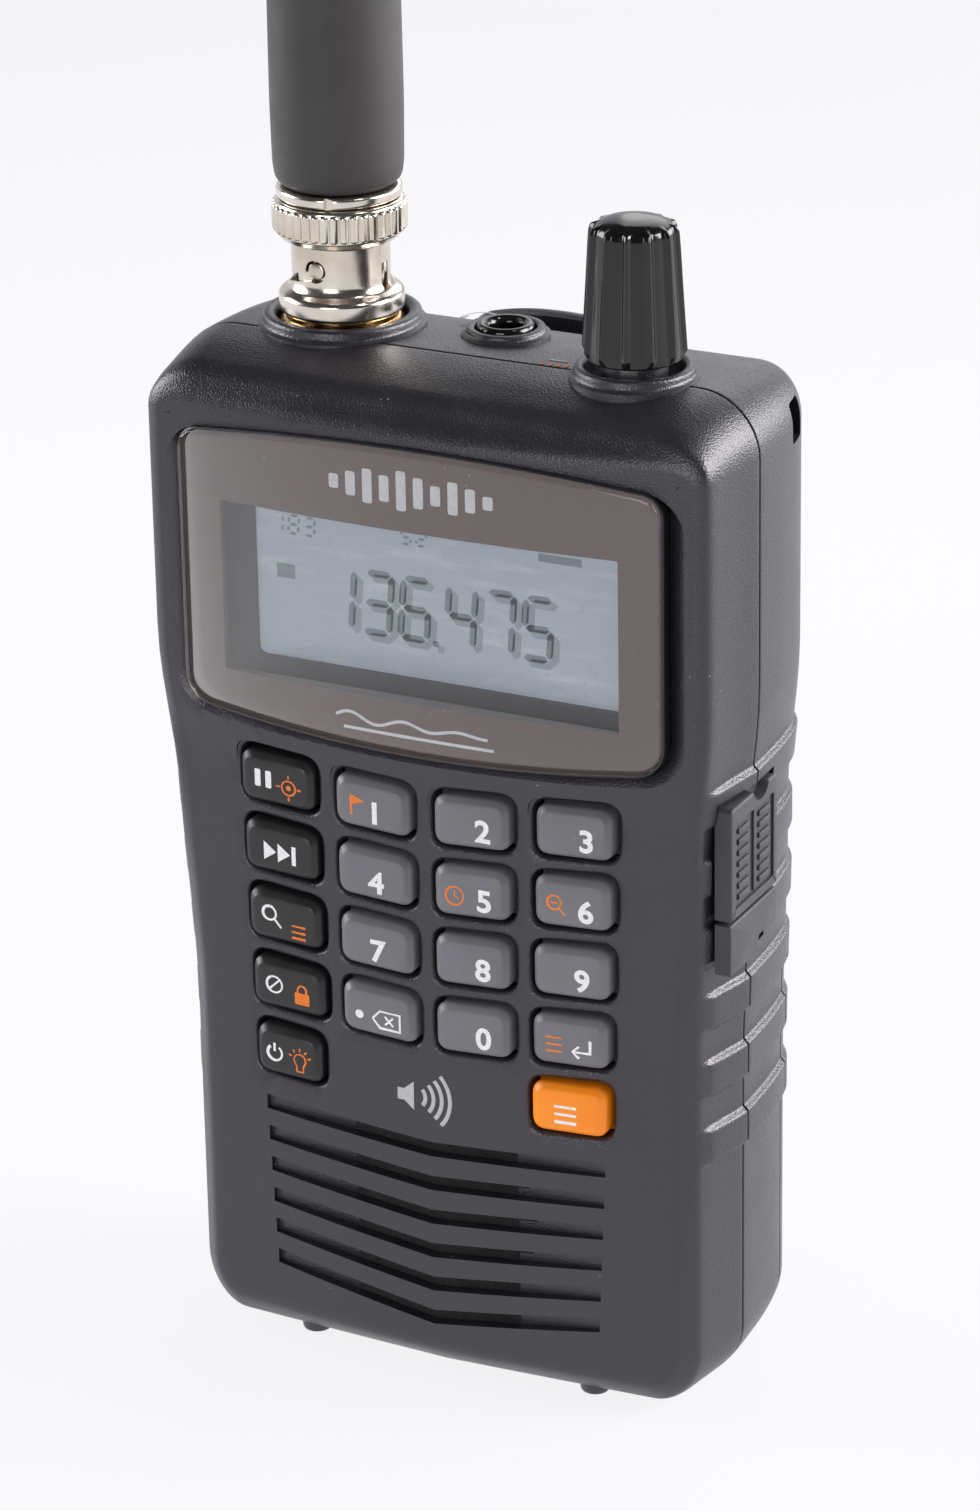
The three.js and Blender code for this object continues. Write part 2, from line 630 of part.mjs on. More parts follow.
function portAnchor() {
  const { yMin, yMax, flapLow, anchorLow } = PORT;
  const x0 = PORT_FLOOR_X + GAP;
  const body = box(x0, PORT_OUTER_X - 0.1, yMin, yMax, anchorLow, flapLow - 0.4);
  const step = box(33.2, 40, -3.2, 10, 50, 55.0);
  return body.subtract(step);
}

// ---------------------------------------------------------------- aerial and its socket

function bnc_lug(azimuth) {
  const lug = new THREE.CylinderGeometry(0.9, 0.9, 1.5, 12);
  lug.translate(0, -4.75, 0);
  lug.rotateZ(THREE.MathUtils.degToRad(azimuth));
  lug.translate(AERIAL.x, AERIAL.y, LUG_Z);
  return solid(lug);
}

function socket() {
  const barrel = turned(
    [[0, 104], [4.4, 104], [4.4, 108], [6.4, 108], [6.4, 109.8], [4.6, 109.8], [4.6, TOP_Z + 9.3],
      [3.9, TOP_Z + 9.3], [3.9, TOP_Z + 1], [0, TOP_Z + 1]],
    AERIAL.x, AERIAL.y,
  );
  return join([barrel, bnc_lug(-4), bnc_lug(176)]);
}

function socketNut() {
  const low = TOP_Z + GAP;
  return turned(
    [[4.9, low], [6.2, low], [6.6, low + 0.4], [6.0, low + 0.9], [4.9, low + 0.9], [4.9, low]],
    AERIAL.x, AERIAL.y, 24,
  );
}

function aerialPlug() {
  const base = TOP_Z;
  return turned(
    [[0, base + 2.2], [3.5, base + 2.2], [3.5, base + 9.9], [4.4, base + 10.3], [4.4, base + 14.3],
      [6.7, base + 14.3], [6.7, base + 15.2], [3.0, base + 15.2], [3.0, base + 24], [0, base + 24]],
    AERIAL.x, AERIAL.y, 28,
  );
}

function aerialSleeve() {
  const low = TOP_Z + 15.5;
  const outer = [[5.6, low], [6.6, low + 0.5], [7.0, low + 1.6], [7.15, low + 8], [7.0, low + 30],
    [6.1, low + 80], [4.9, AERIAL_TOP_Z - 8], [4.4, AERIAL_TOP_Z - 3], [3.1, AERIAL_TOP_Z - 0.8]];
  const profile = [[0, low + 9], [3.3, low + 9], [3.3, low], ...outer, [0, AERIAL_TOP_Z]];
  return turned(profile, AERIAL.x, AERIAL.y, 28);
}

// Straight knurls round the grip band of the coupling.
function knurledBand(low, high) {
  const teeth = 30;
  const points = [];
  for (let i = 0; i < teeth * 2; i++) {
    const angle = (Math.PI * i) / teeth;
    const radius = i % 2 ? 7.25 : 7.0;
    points.push(new THREE.Vector2(radius * Math.cos(angle), radius * Math.sin(angle)));
  }
  const at = (z) => points.map((p) => new THREE.Vector3(AERIAL.x + p.x, AERIAL.y + p.y, z));
  return loft([at(low), at(high)]);
}

// A band-shaped cutter round the aerial's axis between two azimuths, counted from the front.
function sector(from, to, low, high) {
  const steps = Math.ceil((to - from) / 12);
  const rings = [];
  for (let i = 0; i <= steps; i++) {
    const angle = THREE.MathUtils.degToRad(from + ((to - from) * i) / steps);
    const at = (radius, z) =>
      new THREE.Vector3(AERIAL.x + radius * Math.sin(angle), AERIAL.y - radius * Math.cos(angle), z);
    rings.push([at(4, low), at(4, high), at(6.1, high), at(6.1, low)]);
  }
  return loft(rings);
}

function aerialCoupling() {
  const b = TOP_Z;
  const sleeve = turned(
    [[0, b + 1.5], [6.4, b + 1.5], [6.8, b + 1.9], [6.8, b + 3.5], [5.9, b + 4.3], [5.3, b + 4.6],
      [5.3, b + 9.4], [6.6, b + 9.6], [6.9, b + 10.0], [6.9, b + 13.8], [0, b + 13.8]],
    AERIAL.x, AERIAL.y,
  );
  const hollow = [
    bore(AERIAL.x, AERIAL.y, 4.95, b + 1, b + 10, 32),
    bore(AERIAL.x, AERIAL.y, 4.75, b + 9.5, b + 15, 32),
  ];
  const track = [-4, 176].flatMap((start) => [
    sector(start - 80, start + 14, LUG_Z - 1.3, LUG_Z + 1.3),
    sector(start - 94, start - 66, LUG_Z - 6, LUG_Z + 1.1),
  ]);
  const grip = knurledBand(b + 10.4, b + 13.7);
  return cut(join([sleeve, grip]), [...hollow, ...track]);
}

// ---------------------------------------------------------------- phone socket, encoder and knob

function phoneSocket() {
  const hole = bore(PHONE.x, PHONE.y, 1.85, 103, 120, 16);
  const body = box(PHONE.x - 4, PHONE.x + 4, PHONE.y - 3.6, PHONE.y + 3.6, 101, 112.4);
  const collar = turned(
    [[0, 112], [3.1, 112], [3.1, TOP_Z + 0.9], [2.7, TOP_Z + 1.3], [0, TOP_Z + 1.3]],
    PHONE.x, PHONE.y, 20,
  );
  return join([body, collar]).subtract(hole);
}

function encoderBody() {
  const body = box(KNOB.x - 5.5, KNOB.x + 5.5, KNOB.y - 5.2, KNOB.y + 5.2, 106.4, 112.6);
  const bush = bore(KNOB.x, KNOB.y, 3.5, 112, TOP_Z + 2.6);
  const hole = bore(KNOB.x, KNOB.y, 3.1, 105, 125);
  return join([body, bush]).subtract(hole);
}

const encoderShaft = () =>
  turned([[0, 105], [2.8, 105], [2.8, TOP_Z + 12], [2.4, TOP_Z + 12.6], [0, TOP_Z + 12.6]], KNOB.x, KNOB.y, 16);

// The knob's outline at one height: a circle with twelve shallow flutes.
function flutedRing(radius, depth, z) {
  const points = [];
  for (let i = 0; i < 36; i++) {
    const angle = (2 * Math.PI * i) / 36;
    const r = i % 3 === 0 ? radius - depth : radius;
    points.push(new THREE.Vector3(KNOB.x + r * Math.cos(angle), KNOB.y + r * Math.sin(angle), z));
  }
  return points;
}

function volumeKnob() {
  const b = TOP_Z;
  const body = loft([
    flutedRing(5.6, 0, b + 1.9),
    flutedRing(5.7, 0, b + 2.8),
    flutedRing(5.6, 0.5, b + 3.4),
    flutedRing(4.85, 0.5, b + 15.2),
    flutedRing(4.3, 0.3, b + 16.2),
    flutedRing(2.4, 0, b + 16.8),
  ]);
  const socketHole = turned(
    [[0, b], [4.4, b], [4.4, b + 3.4], [3.1, b + 3.4], [3.1, b + 12.9], [0, b + 12.9]], KNOB.x, KNOB.y, 20);
  return body.subtract(socketHole);
}

// ---------------------------------------------------------------- belt clip

function clipBase() {
  const plate = slab(roundedRectangle(25, 34, 4, 3).map(([x, z]) => [x, z + 86]), BACK_Y + GAP, BACK_Y + 2.2);
  const lugs = bothSides(9.6).flatMap((x) => [
    box(x - 1.3, x + 1.3, BACK_Y + 1, CLIP_PIN.y, 99.4, 102.6),
    turnedAlongX([[0, x - 1.3], [1.6, x - 1.3], [1.6, x + 1.3], [0, x + 1.3]], CLIP_PIN.y, CLIP_PIN.z, 16),
  ]);
  const pinHole = turnedAlongX([[0, -20], [1.1, -20], [1.1, 20], [0, 20]], CLIP_PIN.y, CLIP_PIN.z, 12);
  const screwHole = turnedAlongY([[0, 14], [1.7, 14], [1.7, 16.7], [3.1, 16.7], [3.1, 20], [0, 20]], 0, 84, 16);
  return cut(join([plate, ...lugs]), [pinHole, screwHole]);
}

const clipPin = () => turnedAlongX([[0, -10.8], [0.8, -10.8], [0.8, 10.8], [0, 10.8]], CLIP_PIN.y, CLIP_PIN.z, 10);

function clipArm() {
  const outline = [];
  const half = [[5.5, 56.5], [9, 58], [11, 61.5], [12, 96], [12, 109], [10, 112.2], [5, 113.4]];
  half.forEach(([x, z]) => outline.push([x, z]));
  outline.push([0, 113.7]);
  half.slice().reverse().forEach(([x, z]) => outline.push([-x, z]));
  const profile = [[20.8, 50], [21.0, 66], [21.6, 101], [20.4, 108], [19.0, 116], [20.6, 116], [22.1, 108],
    [23.3, 101], [22.7, 66], [22.5, 50]];
  const plan = slab(outline, 15, 26);
  const blade = solid(placedProfile(profile)).intersect(plan);
  const knuckle = turnedAlongX([[0, -8.0], [1.8, -8.0], [1.8, 8.0], [0, 8.0]], CLIP_PIN.y, CLIP_PIN.z, 14);
  const web = box(-8, 8, CLIP_PIN.y, 22, 99.6, 102.4);
  const hook = box(-6, 6, BACK_Y + GAP, 21.5, 56.6, 58.6);
  const bore = turnedAlongX([[0, -20], [1.1, -20], [1.1, 20], [0, 20]], CLIP_PIN.y, CLIP_PIN.z, 12);
  return join([blade, knuckle, web, hook.intersect(plan)]).subtract(bore);
}

// A side profile of [y, z] points swept 40 mm across the middle.
function placedProfile(profile) {
  const shape = new THREE.Shape(profile.map(([y, z]) => new THREE.Vector2(y, z)));
  const geometry = new THREE.ExtrudeGeometry(shape, { depth: 40, bevelEnabled: false });
  geometry.rotateY(Math.PI / 2);
  geometry.rotateX(Math.PI / 2);
  geometry.translate(-20, 0, 0);
  return geometry;
}

const screw = (x, z, head, headY, tipY) =>
  turnedAlongY([[0, tipY], [1.2, tipY], [1.2, headY], [head, headY], [head, headY + 1.1], [0, headY + 1.1]],
    x, z, 12);

// ---------------------------------------------------------------- batteries

// A cell lying along X; flip = -1 turns its button to the left.
function cell(z, flip) {
  const { radius, length, y } = CELL;
  const body = [[0, -length / 2], [radius - 0.4, -length / 2], [radius, -length / 2 + 0.4],
    [radius, length / 2 - 0.4], [radius - 0.4, length / 2], [2.75, length / 2], [2.75, length / 2 + 1.2],
    [0, length / 2 + 1.2]];
  const profile = flip > 0 ? body : body.map(([r, x]) => [r, -x]).reverse();
  return turnedAlongX(profile, y, z, 24);
}

// A conical contact spring wound about X from its plate to the cell.
function contactSpring(z, flip) {
  const turns = 3;
  const steps = 27;
  const wire = 0.3;
  const rings = [];
  for (let i = 0; i <= steps; i++) {
    const t = i / steps;
    const angle = 2 * Math.PI * turns * t;
    const radius = 4.2 - 1.9 * t;
    const centreX = -flip * (27.0 - 2.0 * t);
    const outward = new THREE.Vector3(0, Math.cos(angle), Math.sin(angle));
    const along = new THREE.Vector3(-flip, 0, 0);
    const centre = new THREE.Vector3(centreX, CELL.y, z).addScaledVector(outward, radius);
    const corners = [0, 90, 180, 270].map((a) => {
      const turn = THREE.MathUtils.degToRad(a);
      return centre.clone().addScaledVector(outward, wire * Math.cos(turn))
        .addScaledVector(along, wire * Math.sin(turn));
    });
    rings.push(flip > 0 ? corners : corners.reverse());
  }
  return loft(rings);
}

const contactPlate = (side) => {
  const inner = side * (BAY.half - 0.7);
  const outer = side * (BAY.half - 0.3);
  return box(Math.min(inner, outer), Math.max(inner, outer), 1, 9, 6.4, 35.2);
};

// ---------------------------------------------------------------- materials and the assembly

const MATERIALS = {
  case: { color: 0x2b2b2f, roughness: 0.62 },
  black: { color: 0x161618, roughness: 0.3 },
  lens: { color: 0x6a5f5a, roughness: 0.15 },
  lcd: { color: 0x93a4ac, roughness: 0.3 },
  greyKey: { color: 0x67676c, roughness: 0.5 },
  darkKey: { color: 0x2c2a2c, roughness: 0.45 },
  orangeKey: { color: 0xff8a1e, roughness: 0.4 },
  rubber: { color: 0x3a3739, roughness: 0.85 },
  nickel: { color: 0xd9d2c6, roughness: 0.25, metalness: 1 },
  brass: { color: 0xc9a35a, roughness: 0.3, metalness: 1 },
  steel: { color: 0xb4b6ba, roughness: 0.35, metalness: 1 },
  board: { color: 0x1f5a3a, roughness: 0.5 },
  cellLabel: { color: 0x2f6f9f, roughness: 0.4 },
  cloth: { color: 0x111113, roughness: 0.95 },
};

const group = new THREE.Group();
group.name = "radio_receiver";
group.position.y = -MIDDLE_Y;

function add(name, material, shape) {
  const mesh = new THREE.Mesh(geometryOf(shape), new THREE.MeshStandardMaterial(MATERIALS[material]));
  mesh.name = name;
  group.add(mesh);
}

function keyMaterial(name, column) {
  if (name === "key_function") return "orangeKey";
  return column === 0 ? "darkKey" : "greyKey";
}

add("front_case", "case", frontCase());
add("rear_case", "case", rearCase());
add("battery_door", "case", batteryDoor());
add("display_window", "lens", displayWindow());
add("lcd_panel", "lcd", lcdPanel());
add("lcd_holder", "black", lcdHolder());
eachKey((name, column, row) => add(name, keyMaterial(name, column), keyShape(column, row)));
add("keypad_mat", "rubber", keypadMat());
add("main_board", "board", mainBoard());
add("rf_board", "board", rfBoard());
add("shield_can", "steel", shieldCan());
add("speaker_frame", "steel", speakerFrame());
add("speaker_cone", "cloth", speakerCone());
add("speaker_magnet", "steel", speakerMagnet());
add("speaker_cloth", "cloth", speakerCloth());
add("usb_jack", "steel", usbJack());
add("port_flap", "rubber", portFlap());
add("port_anchor", "rubber", portAnchor());
add("aerial_socket", "nickel", socket());
add("socket_nut", "brass", socketNut());
add("aerial_plug", "nickel", aerialPlug());
add("aerial_coupling", "nickel", aerialCoupling());
add("aerial_sleeve", "rubber", aerialSleeve());
add("phone_socket", "black", phoneSocket());
add("encoder_body", "steel", encoderBody());
add("encoder_shaft", "steel", encoderShaft());
add("volume_knob", "black", volumeKnob());
add("clip_base", "case", clipBase());
add("clip_pin", "steel", clipPin());
add("clip_arm", "case", clipArm());
add("clip_screw", "steel", screw(0, 84, 2.7, 17.0, 8));
add("battery_1", "cellLabel", cell(CELL.z[0], 1));
add("battery_2", "cellLabel", cell(CELL.z[1], -1));
add("battery_spring_1", "steel", contactSpring(CELL.z[0], 1));
add("battery_spring_2", "steel", contactSpring(CELL.z[1], -1));
add("contact_left", "steel", contactPlate(-1));
add("contact_right", "steel", contactPlate(1));
bothSides(26).forEach((x, i) => add(`case_screw_top_${i + 1}`, "steel", screw(x, 98, 2.1, 9.3, 4.3)));
bothSides(26).forEach((x, i) => add(`case_screw_low_${i + 1}`, "steel", screw(x, 43.4, 2.1, 5.3, 0.3)));

export default group;
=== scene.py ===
"""Looks of a handheld radio receiver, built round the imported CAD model.

Shapes are worked out in drawing millimetres (front faces -Y, z up, y measured from a plane just
inside the case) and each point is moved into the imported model's frame, in metres, by place().
"""
import math

import bmesh
import bpy
from mathutils import Matrix, Vector


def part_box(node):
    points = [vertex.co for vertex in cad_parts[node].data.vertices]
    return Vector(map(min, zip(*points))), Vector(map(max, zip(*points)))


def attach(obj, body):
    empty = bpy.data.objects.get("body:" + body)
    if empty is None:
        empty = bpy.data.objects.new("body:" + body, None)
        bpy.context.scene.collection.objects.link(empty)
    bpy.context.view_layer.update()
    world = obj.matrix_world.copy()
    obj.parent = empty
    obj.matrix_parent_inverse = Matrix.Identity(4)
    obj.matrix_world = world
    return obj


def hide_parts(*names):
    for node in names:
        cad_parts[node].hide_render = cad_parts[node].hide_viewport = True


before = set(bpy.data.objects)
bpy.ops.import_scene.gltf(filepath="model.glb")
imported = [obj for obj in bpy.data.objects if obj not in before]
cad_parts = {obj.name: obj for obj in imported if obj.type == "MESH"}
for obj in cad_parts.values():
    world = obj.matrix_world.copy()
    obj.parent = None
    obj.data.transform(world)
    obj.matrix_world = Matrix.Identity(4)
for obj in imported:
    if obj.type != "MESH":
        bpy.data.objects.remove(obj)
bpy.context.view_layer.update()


# ---------------------------------------------------------------- driving dimensions, mm

MM = 0.001
MIDDLE_Y = 2.9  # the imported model's origin lies this far behind the drawing's
GAP = 0.3

PARTING_Y = -3.5
FACE_Y = -15.0
BACK_Y = 15.5
BOW = 0.002
BOTTOM_Z = 0.35
BOTTOM_V = 0.027
TOP_Z = 115.9
HEAD_HALF = 34.1
CORNER = 7.0
WALL = 2.0

# Below the head the case narrows in soft steps: (from a height, over a length, by an amount).
NARROWINGS = ((84, 18, 1.3), (62, 24, 0.5))
FACE_MIDDLE_Z = 58
FACE_RINGS = 16

# The head stands further forward than the keypad: its side edges by HEAD_EDGE, its face by HEAD_FACE.
HEAD_LOW, HEAD_HIGH = 40, 84
HEAD_EDGE = 1.9
HEAD_FACE_LOW, HEAD_FACE_HIGH = 69, 77
HEAD_FACE = 1.1
HEAD_TRIM = 0.28

PAD_COUNT = 6
PAD_FIRST = 30.1
PAD_PITCH = 8.0
PAD_HEIGHT = 4.9
PAD_RAMP = 0.8
PAD_PROUD = 0.6

LENS_HALF = 28.1
LENS_MID_LOW = 75.2
LENS_SIDE_LOW = 76.7
LENS_MID_HIGH = 109.3
LENS_SIDE_HIGH = 107.8
LENS_TOP_GROW = 0.6
LENS_LOW_CORNER = 3.4
LENS_HIGH_CORNER = 2.4
LENS_MIDDLE_Z = (LENS_MID_LOW + LENS_MID_HIGH) / 2
LENS_FRONT_Y = -17.5
LENS_PAINT_Y = -16.4  # the paint lies on the back of the clear sheet
LENS_BACK_Y = -14.6

WINDOW_HALF = 23.3
WINDOW_LOW = 81.0
WINDOW_HIGH = 100.2
LCD_FRONT_Y = -11.7

KEY_FACE_Y = -15.9
KEY_BASE = (8.9, 5.7)
KEY_FACE = (7.7, 4.6)
KEY_SLOPE = 0.055
POWER_NARROWER = 0.9

SLOT_COUNT = 6
SLOT_HALF = 20.7
SLOT_SHORTER = 0.16
SLOT_HEIGHT = 1.75
SLOT_END_TOP = 30.3
SLOT_END_PITCH = 3.8
SLOT_MID_TOP = 29.0
SLOT_MID_PITCH = 4.14
SPEAKER_Z = 19.3
SPEAKER_REACH = 12.2
GRILLE_RIB = (6.9, 7.9)

PORT_Y = (-10.9, 1.1)
PORT_FLOOR_X = 31.9
PORT_OUTER_X = 34.15
FLAP_Z = (59.7, 72.5)
ANCHOR_LOW = 53.4
USB_Y = -3.4
USB_Z = 64.0

DOOR_Y = 9.4
DOOR_TOP = 47.0
FOOT_X = 17.4
FOOT_FRONT_Y = -10.2
FOOT_REAR_Y = 4.5

SCREW_X = 26
TOP_SCREW_Z = 98
LOW_SCREW_Z = 43.4
CLIP_SCREW_Z = 84
CLIP_MIDDLE_Z = 86
CLIP_EYE_RADIUS = 1.1

# Wells in the top face, as radii, and the bayonet lugs of the aerial socket.
AERIAL_WELL = 7.1
KNOB_WELL = 5.3
PHONE_WELL = 3.3
LUG_Z = TOP_Z + 6.7
LUG_AZIMUTHS = (-4, 176)
COUPLING_BORE = 4.2

KEYS = {
    "key_pause": "dark", "key_scan": "dark", "key_search": "dark", "key_lock": "dark", "key_power": "dark",
    "key_1": "grey", "key_2": "grey", "key_3": "grey", "key_4": "grey", "key_5": "grey", "key_6": "grey",
    "key_7": "grey", "key_8": "grey", "key_9": "grey", "key_clear": "grey", "key_0": "grey",
    "key_enter": "grey", "key_function": "orange",
}


def middle_of(node):
    """The middle of a CAD node's box, in drawing millimetres."""
    low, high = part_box(node)
    x, y, z = [(a + b) / 2 / MM for a, b in zip(low, high)]
    return x, y + MIDDLE_Y, z


AERIAL_X, AERIAL_Y, _ = middle_of("aerial_sleeve")
_, PIN_Y, PIN_Z = middle_of("clip_pin")
KNOB_X, KNOB_Y, _ = middle_of("volume_knob")
PHONE_X, PHONE_Y, _ = middle_of("phone_socket")
AERIAL_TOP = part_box("aerial_sleeve")[1][2] / MM


# ---------------------------------------------------------------- shape helpers

def place(point):
    x, y, z = point
    return x * MM, (y - MIDDLE_Y) * MM, z * MM


def in_scene(name, data):
    """A new object in the scene that holds a mesh, a curve, a light or a camera."""
    obj = bpy.data.objects.new(name, data)
    bpy.context.scene.collection.objects.link(obj)
    return obj


def shade(mesh, sharp=32):
    """Smooth shading, with creases where faces meet at more than sharp degrees."""
    mesh.shade_smooth()
    mesh.set_sharp_from_angle(angle=math.radians(sharp))


def finish_mesh(mesh, sharp=32):
    """Welds equal points, turns the faces outward and shades the mesh."""
    work = bmesh.new()
    work.from_mesh(mesh)
    bmesh.ops.remove_doubles(work, verts=work.verts, dist=2e-7)
    bmesh.ops.recalc_face_normals(work, faces=work.faces)
    work.to_mesh(mesh)
    work.free()
    shade(mesh, sharp)


def new_object(name, points, faces, sharp=32):
    mesh = bpy.data.meshes.new(name)
    mesh.from_pydata([place(p) for p in points], [], faces)
    finish_mesh(mesh, sharp)
    return in_scene(name, mesh)


def side_faces(rings, closed=False):
    """Quads between each ring and the next one."""
    count = len(rings[0])
    faces = []
    for r in range(len(rings) if closed else len(rings) - 1):
        a = r * count
        b = ((r + 1) % len(rings)) * count
        for i in range(count):
            j = (i + 1) % count
            faces.append((a + i, a + j, b + j, b + i))
    return faces


def loft(name, rings, sharp=32, closed=False):
    """A skin over rings of equally many points, with a fan over each end unless it closes on itself."""
    count = len(rings[0])
    points = [p for ring in rings for p in ring]
    faces = side_faces(rings, closed)
    if not closed:
        for start in (0, (len(rings) - 1) * count):
            ring = points[start:start + count]
            points.append(tuple(sum(p[k] for p in ring) / count for k in range(3)))
            hub = len(points) - 1
            for i in range(count):
                faces.append((start + i, start + (i + 1) % count, hub))
    return new_object(name, points, faces, sharp)


def loft_strip(name, rings, across):
    """A solid over a long bent strip, capped with quads that span it."""
    count = len(rings[0])
    points = [p for ring in rings for p in ring]
    faces = side_faces(rings)
    for start in (0, (len(rings) - 1) * count):
        for i in range(across - 1):
            faces.append((start + i, start + i + 1, start + count - 2 - i, start + count - 1 - i))
    return new_object(name, points, faces)


def rounded(points, radius, steps=3, closed=False):
    """A 2-D polyline with its corners turned into short curves. A third number overrides the radius."""
    count = len(points)
    out = []
    for i, p in enumerate(points):
        here = Vector(p[:2])
        r = p[2] if len(p) > 2 else radius
        if r <= 0 or (not closed and i in (0, count - 1)):
            out.append(tuple(here))
            continue
        before = Vector(points[i - 1][:2]) - here
        after = Vector(points[(i + 1) % count][:2]) - here
        reach = min(r, before.length * 0.49, after.length * 0.49)
        start = here + before.normalized() * reach
        end = here + after.normalized() * reach
        for k in range(steps + 1):
            t = k / steps
            out.append(tuple(start * (1 - t) ** 2 + here * 2 * t * (1 - t) + end * t * t))
    return out


def rectangle(x0, x1, z0, z1, radius, steps):
    """The outline of a rectangle between two x and two z positions, with rounded corners."""
    return rounded([(x0, z0), (x1, z0), (x1, z1), (x0, z1)], radius, steps, True)


def arc(cx, cz, radius, start, end, steps=16):
    """Points of an arc, with angles in degrees from +X towards +Z."""
    points = []
    for i in range(steps + 1):
        a = math.radians(start + (end - start) * i / steps)
        points.append((cx + radius * math.cos(a), cz + radius * math.sin(a)))
    return points


def chaikin(rows, rounds=2):
    """Rows of numbers with their corners cut, keeping the first and the last row."""
    for _ in range(rounds):
        cut = [rows[0]]
        for a, b in zip(rows, rows[1:]):
            cut.append(tuple(0.75 * p + 0.25 * q for p, q in zip(a, b)))
            cut.append(tuple(0.25 * p + 0.75 * q for p, q in zip(a, b)))
        rows = cut + [rows[-1]]
    return rows


def lathe(name, profile, x, y, segments=72, axis="Z", z=0.0, closed=False, sharp=32, wave=None):
    """A profile of (radius, position along the axis) turned about an axis through (x, y, z).

    wave(angle, radius, along) may change the radius.
    """
    rings = []
    for radius, along in profile:
        ring = []
        for i in range(segments):
            angle = 2 * math.pi * i / segments
            r = wave(angle, radius, along) if wave else radius
            a, b = r * math.cos(angle), r * math.sin(angle)
            if axis == "Z":
                ring.append((x + a, y + b, along))
            elif axis == "Y":
                ring.append((x + a, along, z + b))
            else:
                ring.append((along, y + a, z + b))
        rings.append(ring)
    return loft(name, rings, sharp, closed)


def offset_outline(outline, distance):
    """A closed 2-D outline moved inward by a distance, point by point."""
    count = len(outline)
    area = 0
    for (xa, za), (xb, zb) in zip(outline[-1:] + outline[:-1], outline):
        area += xa * zb - xb * za
    turn = 1 if area > 0 else -1
    out = []
    for i in range(count):
        here = Vector(outline[i])
        a = (here - Vector(outline[i - 1])).normalized()
        b = (Vector(outline[(i + 1) % count]) - here).normalized()
        normals = Vector((-a.y, a.x)) + Vector((-b.y, b.x))
        normal = normals.normalized() * turn
        lean = max(0.35, normal.dot(Vector((-a.y, a.x)) * turn))
        out.append(tuple(here + normal * (distance / lean)))
    return out


def plate(name, outline, low, high, edge=0.2, axis="Y", steps=3, sharp=32, both=True):
    """An outline given thickness along an axis, with rounded rims. The outline holds (x, z) for Y,
    (y, z) for X and (x, y) for Z."""
    levels = []
    for k in range(steps + 1):
        t = math.pi / 2 * k / steps
        levels.append((edge * (1 - math.sin(t)), low + edge * (1 - math.cos(t))))
    if not both:
        levels = [(0.0, low)]
    for k in range(steps + 1):
        t = math.pi / 2 * k / steps
        levels.append((edge * (1 - math.cos(t)), high - edge * (1 - math.sin(t))))
    rings = []
    for inset, level in levels:
        ring = offset_outline(outline, inset)
        if axis == "Y":
            rings.append([(a, level, b) for a, b in ring])
        elif axis == "X":
            rings.append([(level, a, b) for a, b in ring])
        else:
            rings.append([(a, b, level) for a, b in ring])
    return loft(name, rings, sharp)


def block(name, x0, x1, y0, y1, z0, z1, edge=0.0):
    if edge:
        return plate(name, rectangle(x0, x1, z0, z1, edge, 3), y0, y1, edge)
    rings = [[(x0, y, z0), (x1, y, z0), (x1, y, z1), (x0, y, z1)] for y in (y0, y1)]
    return loft(name, rings)


def joined(name, parts):
    """Several objects as one mesh. Their meshes stay separate shells."""
    work = bmesh.new()
    for part in parts:
        work.from_mesh(part.data)
        bpy.data.objects.remove(part)
    mesh = bpy.data.meshes.new(name)
    work.to_mesh(mesh)
    work.free()
    return in_scene(name, mesh)


def as_mesh(obj):
    """The mesh an object has after its modifiers or its curve are worked out."""
    return bpy.data.meshes.new_from_object(obj.evaluated_get(bpy.context.evaluated_depsgraph_get()))


def boolean(target, tools, operation="DIFFERENCE", sharp=32):
    """Cuts tools from target, or adds them to it, one after another, and removes the tools."""
    for tool in tools:
        modifier = target.modifiers.new("cut", "BOOLEAN")
        modifier.operation = operation
        modifier.solver = "MANIFOLD"
        modifier.object = tool
        shaped = as_mesh(target)
        target.modifiers.clear()
        target.data = shaped
        bpy.data.objects.remove(tool)
    shade(target.data, sharp)
    return target


# ---------------------------------------------------------------- materials

def rgb(red, green, blue):
    """A display colour of 0 to 255 as the linear colour a shader takes."""
    linear = []
    for value in (red, green, blue):
        v = value / 255
        linear.append(v / 12.92 if v <= 0.04045 else ((v + 0.055) / 1.055) ** 2.4)
    return (*linear, 1.0)


def scaled(colour, factor):
    """A colour with its three channels multiplied."""
    return tuple(c * factor for c in colour[:3]) + (1.0,)


